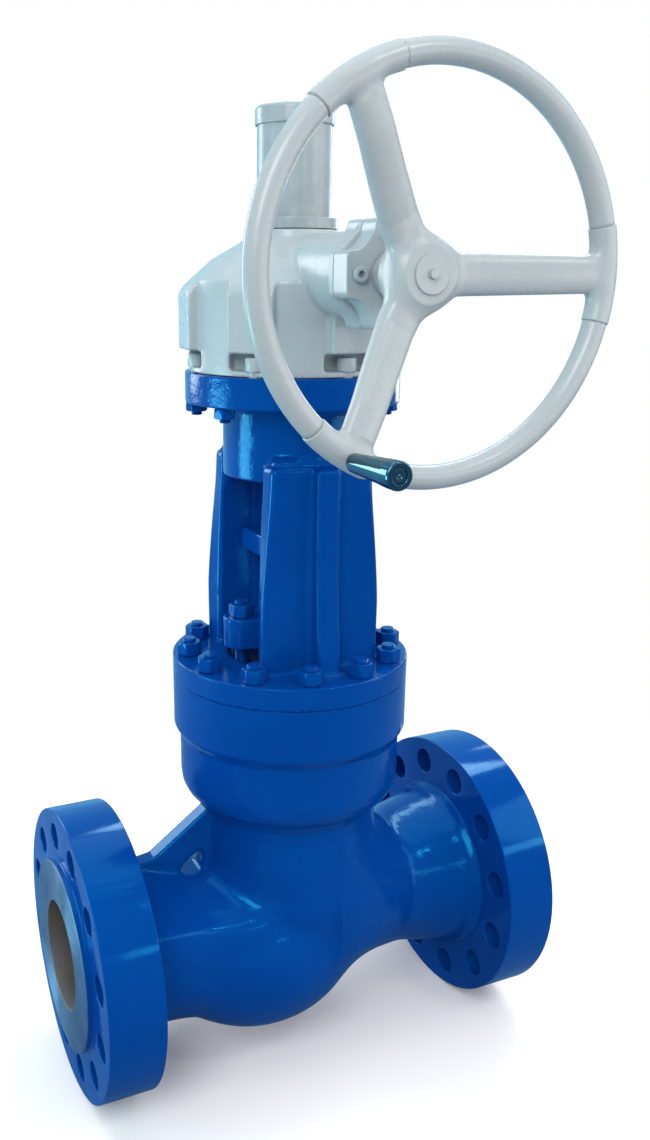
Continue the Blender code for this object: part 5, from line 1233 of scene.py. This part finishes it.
@dataclass
class Handwheel(Assembly):
    """Spoked wheel with its rim of three tubes, the end disc and the spinner handle."""

    rim_radius: float = 0.252
    rim_plane: float = -0.414
    tube_radius: float = 0.016
    socket_radius: float = 0.0178
    socket_half_deg: float = 14.0
    hub_back: float = -0.335
    hub_front: float = -0.390
    dish_reaches: tuple[float, ...] = (0.030, 0.075, 0.130, 0.185, 0.222, 0.252)
    dish_shares: tuple[float, ...] = (0, 0.10, 0.42, 0.78, 0.96, 1.0)
    handle_deg: float = 240.0
    handle_reach: float = 0.2566
    cell: float = 0.0024

    def shape(self, p: Array) -> Array:
        """Hub, three dished spokes and three rim sockets, melted together, less the shaft's bore."""
        x, y, z = p[:, 0], p[:, 1], p[:, 2] - INPUT_AXIS_HEIGHT
        r = np.hypot(x, z)
        turn = np.degrees(np.arctan2(z, x))
        back, front = self.hub_back - 0.003, self.hub_front + 0.003
        shape = outline_distance(r, y, [
            (-0.1, back), (0.042, back), (0.044, back - 0.003), (0.044, front + 0.009), (0.036, front),
            (-0.1, front)]) - 0.003
        root = self.hub_back - 0.030
        for way in (0.0, 120.0, 240.0):
            s = x * cos(radians(way)) + z * sin(radians(way))
            t = z * cos(radians(way)) - x * sin(radians(way))
            span = np.clip((s - 0.03) / (self.rim_radius - 0.03), 0, 1)
            middle = root + (self.rim_plane - root) * np.interp(s, self.dish_reaches, self.dish_shares)
            wide = 0.028 - 0.0045 * span
            thick = 0.0185 - 0.0055 * span
            a, b = np.abs(t) / wide, np.abs(y - middle) / thick
            spoke = ((a ** 2.6 + b ** 2.6) ** (1 / 2.6) - 1) * thick
            spoke = np.maximum(spoke, np.maximum(-s, s - self.rim_radius))
            shape = melt(shape, spoke, 0.016)
            off = (turn - way + 180) % 360 - 180
            tube = np.hypot(r - self.rim_radius, y - self.rim_plane) - self.socket_radius
            end = (np.abs(off) - self.socket_half_deg) * radians(1) * self.rim_radius
            shape = melt(shape, rounded(0.001, tube, end), 0.010)
        return np.maximum(shape, 0.0213 - r)

    def build(self) -> None:
        """Makes the spider, rim tubes, end disc, handle pin and handle."""
        spider = skin("wheel_spider", self.shape, (-0.205, -0.435, 0.850), (0.275, -0.330, 1.345), self.cell)
        self.hang(spider, self.finishes.wheel_grey, Rider.WHEEL, "handwheel_spider")
        skip = self.socket_half_deg - 0.4
        for i in range(3):
            turn = np.radians(np.linspace(120.0 * i + skip, 120.0 * (i + 1) - skip, 64))
            path = np.stack([self.rim_radius * np.cos(turn), np.full(64, self.rim_plane),
                             INPUT_AXIS_HEIGHT + self.rim_radius * np.sin(turn)], -1)
            tube = from_grids(f"wheel_rim_{i + 1:02d}", swept_grid(path, self.tube_radius, 32))
            self.hang(tube, self.finishes.wheel_grey, Rider.WHEEL, f"rim_tube_{i + 1:02d}")
        sleeve = turned("hub_sleeve", [(0.0213, 0.2912), (0.0275, 0.2912), (0.0290, 0.2930), (0.0290, 0.3370),
                                       (0.0213, 0.3370)], 0.0006, 64, INPUT_AXIS)
        self.hang(sleeve, self.finishes.wheel_grey, Rider.WHEEL)
        low = -self.hub_front + 0.0005
        disc = turned("shaft_end_disc", [(0, low), (0.025, low), (0.025, low + 0.004), (0, low + 0.004)],
                      0.0008, 64, INPUT_AXIS)
        self.hang(disc, self.finishes.wheel_grey, Rider.WHEEL, "wheel_end_plate")
        nut = hex_nut_grid(0.0115, low + 0.004, low + 0.009)
        bolt = from_grids("shaft_end_bolt", placed(nut, INPUT_AXIS))
        self.hang(bolt, self.finishes.wheel_grey, Rider.WHEEL)
        x, z = on_circle(self.handle_reach, 1, self.handle_deg)[0]
        place = Matrix.Translation((x, self.rim_plane, z)) @ INPUT_AXIS
        start, end = 0.0181, 0.1261
        handle = turned("handle_grip", [
            (0.0064, start), (0.0108, start), (0.0122, start + 0.003), (0.0138, start + 0.035),
            (0.0158, start + 0.070), (0.0174, end - 0.018), (0.0177, end - 0.003), (0.0172, end - 0.0008),
            (0.0160, end), (0.0104, end), (0.0100, end - 0.0015), (0.0100, 0.1145), (0.0064, 0.1145)],
            0.0006, 64, place)
        self.hang(handle, self.finishes.by_slot[Slot.CHROME], Rider.HANDLE, "spinner_handle")
        pin = turned("handle_pin", [
            (0, 0.004), (0.006, 0.004), (0.006, 0.1148), (0.0095, 0.1148), (0.0095, 0.1247), (0.0044, 0.1250),
            (0.0036, 0.1236), (0.0018, 0.1236), (0, 0.1246)], 0.0004, 48, place)
        self.hang(pin, self.finishes.by_slot[Slot.CHROME], Rider.WHEEL)


@dataclass
class Studio(Assembly):
    """Camera at the photograph's angle, soft lamps, a pale floor and a white world."""

    place: tuple[float, float, float] = (-0.77954, -1.58262, 1.08749)
    right: tuple[float, float, float] = (0.90932828, -0.41607248, 0.00240088)
    up: tuple[float, float, float] = (0.10726052, 0.23998575, 0.96483264)
    ahead: tuple[float, float, float] = (0.40201649, 0.87709209, -0.26285398)
    focal_pixels: float = 1087.0
    centre_pixels: tuple[float, float] = (261.0, 577.0)
    frame_pixels: tuple[int, int] = (650, 1140)
    floor_height: float = -0.2415
    sky: Colour = (0.24, 0.70, 1.0)
    dusk: Colour = (0.16, 0.27, 0.40)

    def camera(self) -> None:
        """Sets the camera from its three directions and its focal length in the photograph's pixels."""
        wide, tall = self.frame_pixels
        lens = bpy.data.cameras.new("camera")
        lens.sensor_width = 36
        lens.lens = self.focal_pixels / tall * 36
        lens.shift_x = (wide / 2 - self.centre_pixels[0]) / tall
        lens.shift_y = (self.centre_pixels[1] - tall / 2) / tall
        lens.clip_end = 50
        thing = bpy.data.objects.new("camera", lens)
        turn = np.eye(4)
        turn[:3] = np.column_stack([self.right, self.up, -np.array(self.ahead), self.place])
        thing.matrix_world = Matrix(turn.tolist())
        bpy.context.scene.collection.objects.link(thing)
        bpy.context.scene.camera = thing

    def lamp(self, name: str, place: Sequence[float], aim: Sequence[float], size: tuple[float, float],
             power: float, colour: Sequence[float] = (1.0, 1.0, 1.0)) -> None:
        """One rectangular soft lamp that looks at a point."""
        light = bpy.data.lights.new(name, "AREA")
        light.shape = "RECTANGLE"
        light.size, light.size_y = size
        light.energy = power
        light.color = colour
        thing = bpy.data.objects.new(name, light)
        thing.visible_camera = False
        way = Vector(aim) - Vector(place)
        thing.matrix_world = Matrix.Translation(place) @ way.to_track_quat("-Z", "Y").to_matrix().to_4x4()
        bpy.context.scene.collection.objects.link(thing)

    def floor(self) -> None:
        """A wide disc that is white to the camera far off and keeps the shadow near the valve."""
        disc = round_rows([(radius, self.floor_height) for radius in (0.0, 1.0, 14.0)], 64)
        thing = from_grids("floor", disc)
        g = Graph.of_material("pale_floor")
        x, y, _ = g.axes()
        reach = (x * x + y * y) ** 0.5
        aside = (x * self.right[0] + y * self.right[1]).ramp(0.3, 2.0)
        seen, mirrored = g.rays()
        shade = g.blend(mirrored, (0.36, 0.38, 0.42), (0.08, 0.20, 0.36))
        g.finish(Base_Color=g.blend(seen, shade, (0.93, 0.93, 0.93)), Roughness=0.85, Specular_IOR_Level=0.15)
        far = g.blend(mirrored, (1.0, 1.0, 1.0), g.blend(aside, self.sky, self.dusk))
        glow = g.add("ShaderNodeEmission", {}, {"Color": far})
        share = seen * reach.ramp(0.5, 1.9) + mirrored * reach.ramp(1.5, 3.0)
        both = g.add("ShaderNodeMixShader", {}, {0: share, 1: Wire(g, g.shader.outputs[0]), 2: glow})
        g.join(g.tree.nodes["Material Output"].inputs["Surface"], both)
        thing.data.materials.append(g.owner)

    def world(self) -> None:
        """White to the camera, blue that darkens to the right to reflections, dimmer white otherwise."""
        world = bpy.data.worlds.new("white_room")
        bpy.context.scene.world = world
        g = Graph(world, "Background")
        seen, mirrored = g.rays()
        inputs = {0: Wire(g, g.coordinates["Generated"]), 1: self.right}
        aside = g.add("ShaderNodeVectorMath", {"operation": "DOT_PRODUCT"}, inputs, "Value")
        room = g.blend(aside.ramp(0.1, 0.95), self.sky, self.dusk)
        direct = (seen + mirrored).ramp(0.0, 1.0)
        g.finish(Color=g.blend(mirrored, (1.0, 1.0, 1.0), room), Strength=direct * 0.32 + 0.68)

    def build(self) -> None:
        """Sets up the camera, the floor, the world and the lamps."""
        self.camera()
        self.floor()
        self.world()
        for name, place, aim, size, power in (
                ("key", (-2.2, -2.6, 2.9), (0, 0, 0.5), (1.6, 2.2), 80),
                ("spark", (0.72, -1.8, 2.45), (-0.2, 0, 0.2), (0.26, 0.30), 6),
                ("side", (2.8, -1.6, 1.6), (0, 0, 0.5), (2.2, 3.0), 38),
                ("top", (0.2, 0.4, 3.6), (0, 0, 0.4), (3.4, 3.4), 36),
                ("back_left", (-1.3, 2.2, 1.45), (0, 0, 0.8), (0.9, 1.6), 22),
                ("back_right", (2.4, 1.6, 1.3), (0, 0, 0.6), (0.7, 1.6), 13),
                ("back_band", (1.25, 1.32, 2.55), (0, 0, 0.25), (2.2, 0.5), 26),
                ("front_streak", (1.13, -2.3, 1.08), (0, 0, 0.2), (1.9, 0.22), 6)):
            self.lamp(name, place, aim, size, power)
        self.lamp("left_wall", (-2.45, 0.75, 0.28), (0, 0, 0.55), (1.0, 0.85), 27, (0.40, 0.90, 1.0))
        bpy.context.scene.view_settings.view_transform = "Standard"


def dress_nodes(finishes: Finishes) -> None:
    """Gives each CAD node that stays the finish of its slot."""
    slots = {row["node"]: row["material_slot"] for row in frame["record"]["subparts"]}
    for name, node in frame["nodes"].items():
        node.data.materials.clear()
        node.data.materials.append(finishes.by_slot[Slot(slots[name])].material)


def main() -> None:
    """Builds the studio and every sub-assembly in order."""
    logging.basicConfig(level=logging.INFO, format="%(message)s")
    finishes = Finishes()
    dress_nodes(finishes)
    for part in (Studio, LineEnds, BodyCasting, Yoke, Fasteners, Gland, Stem, Gearbox, StemCover, Handwheel):
        LOG.info("building %s", part.__name__)
        part(finishes).build()


if __name__ == "__main__":
    main()
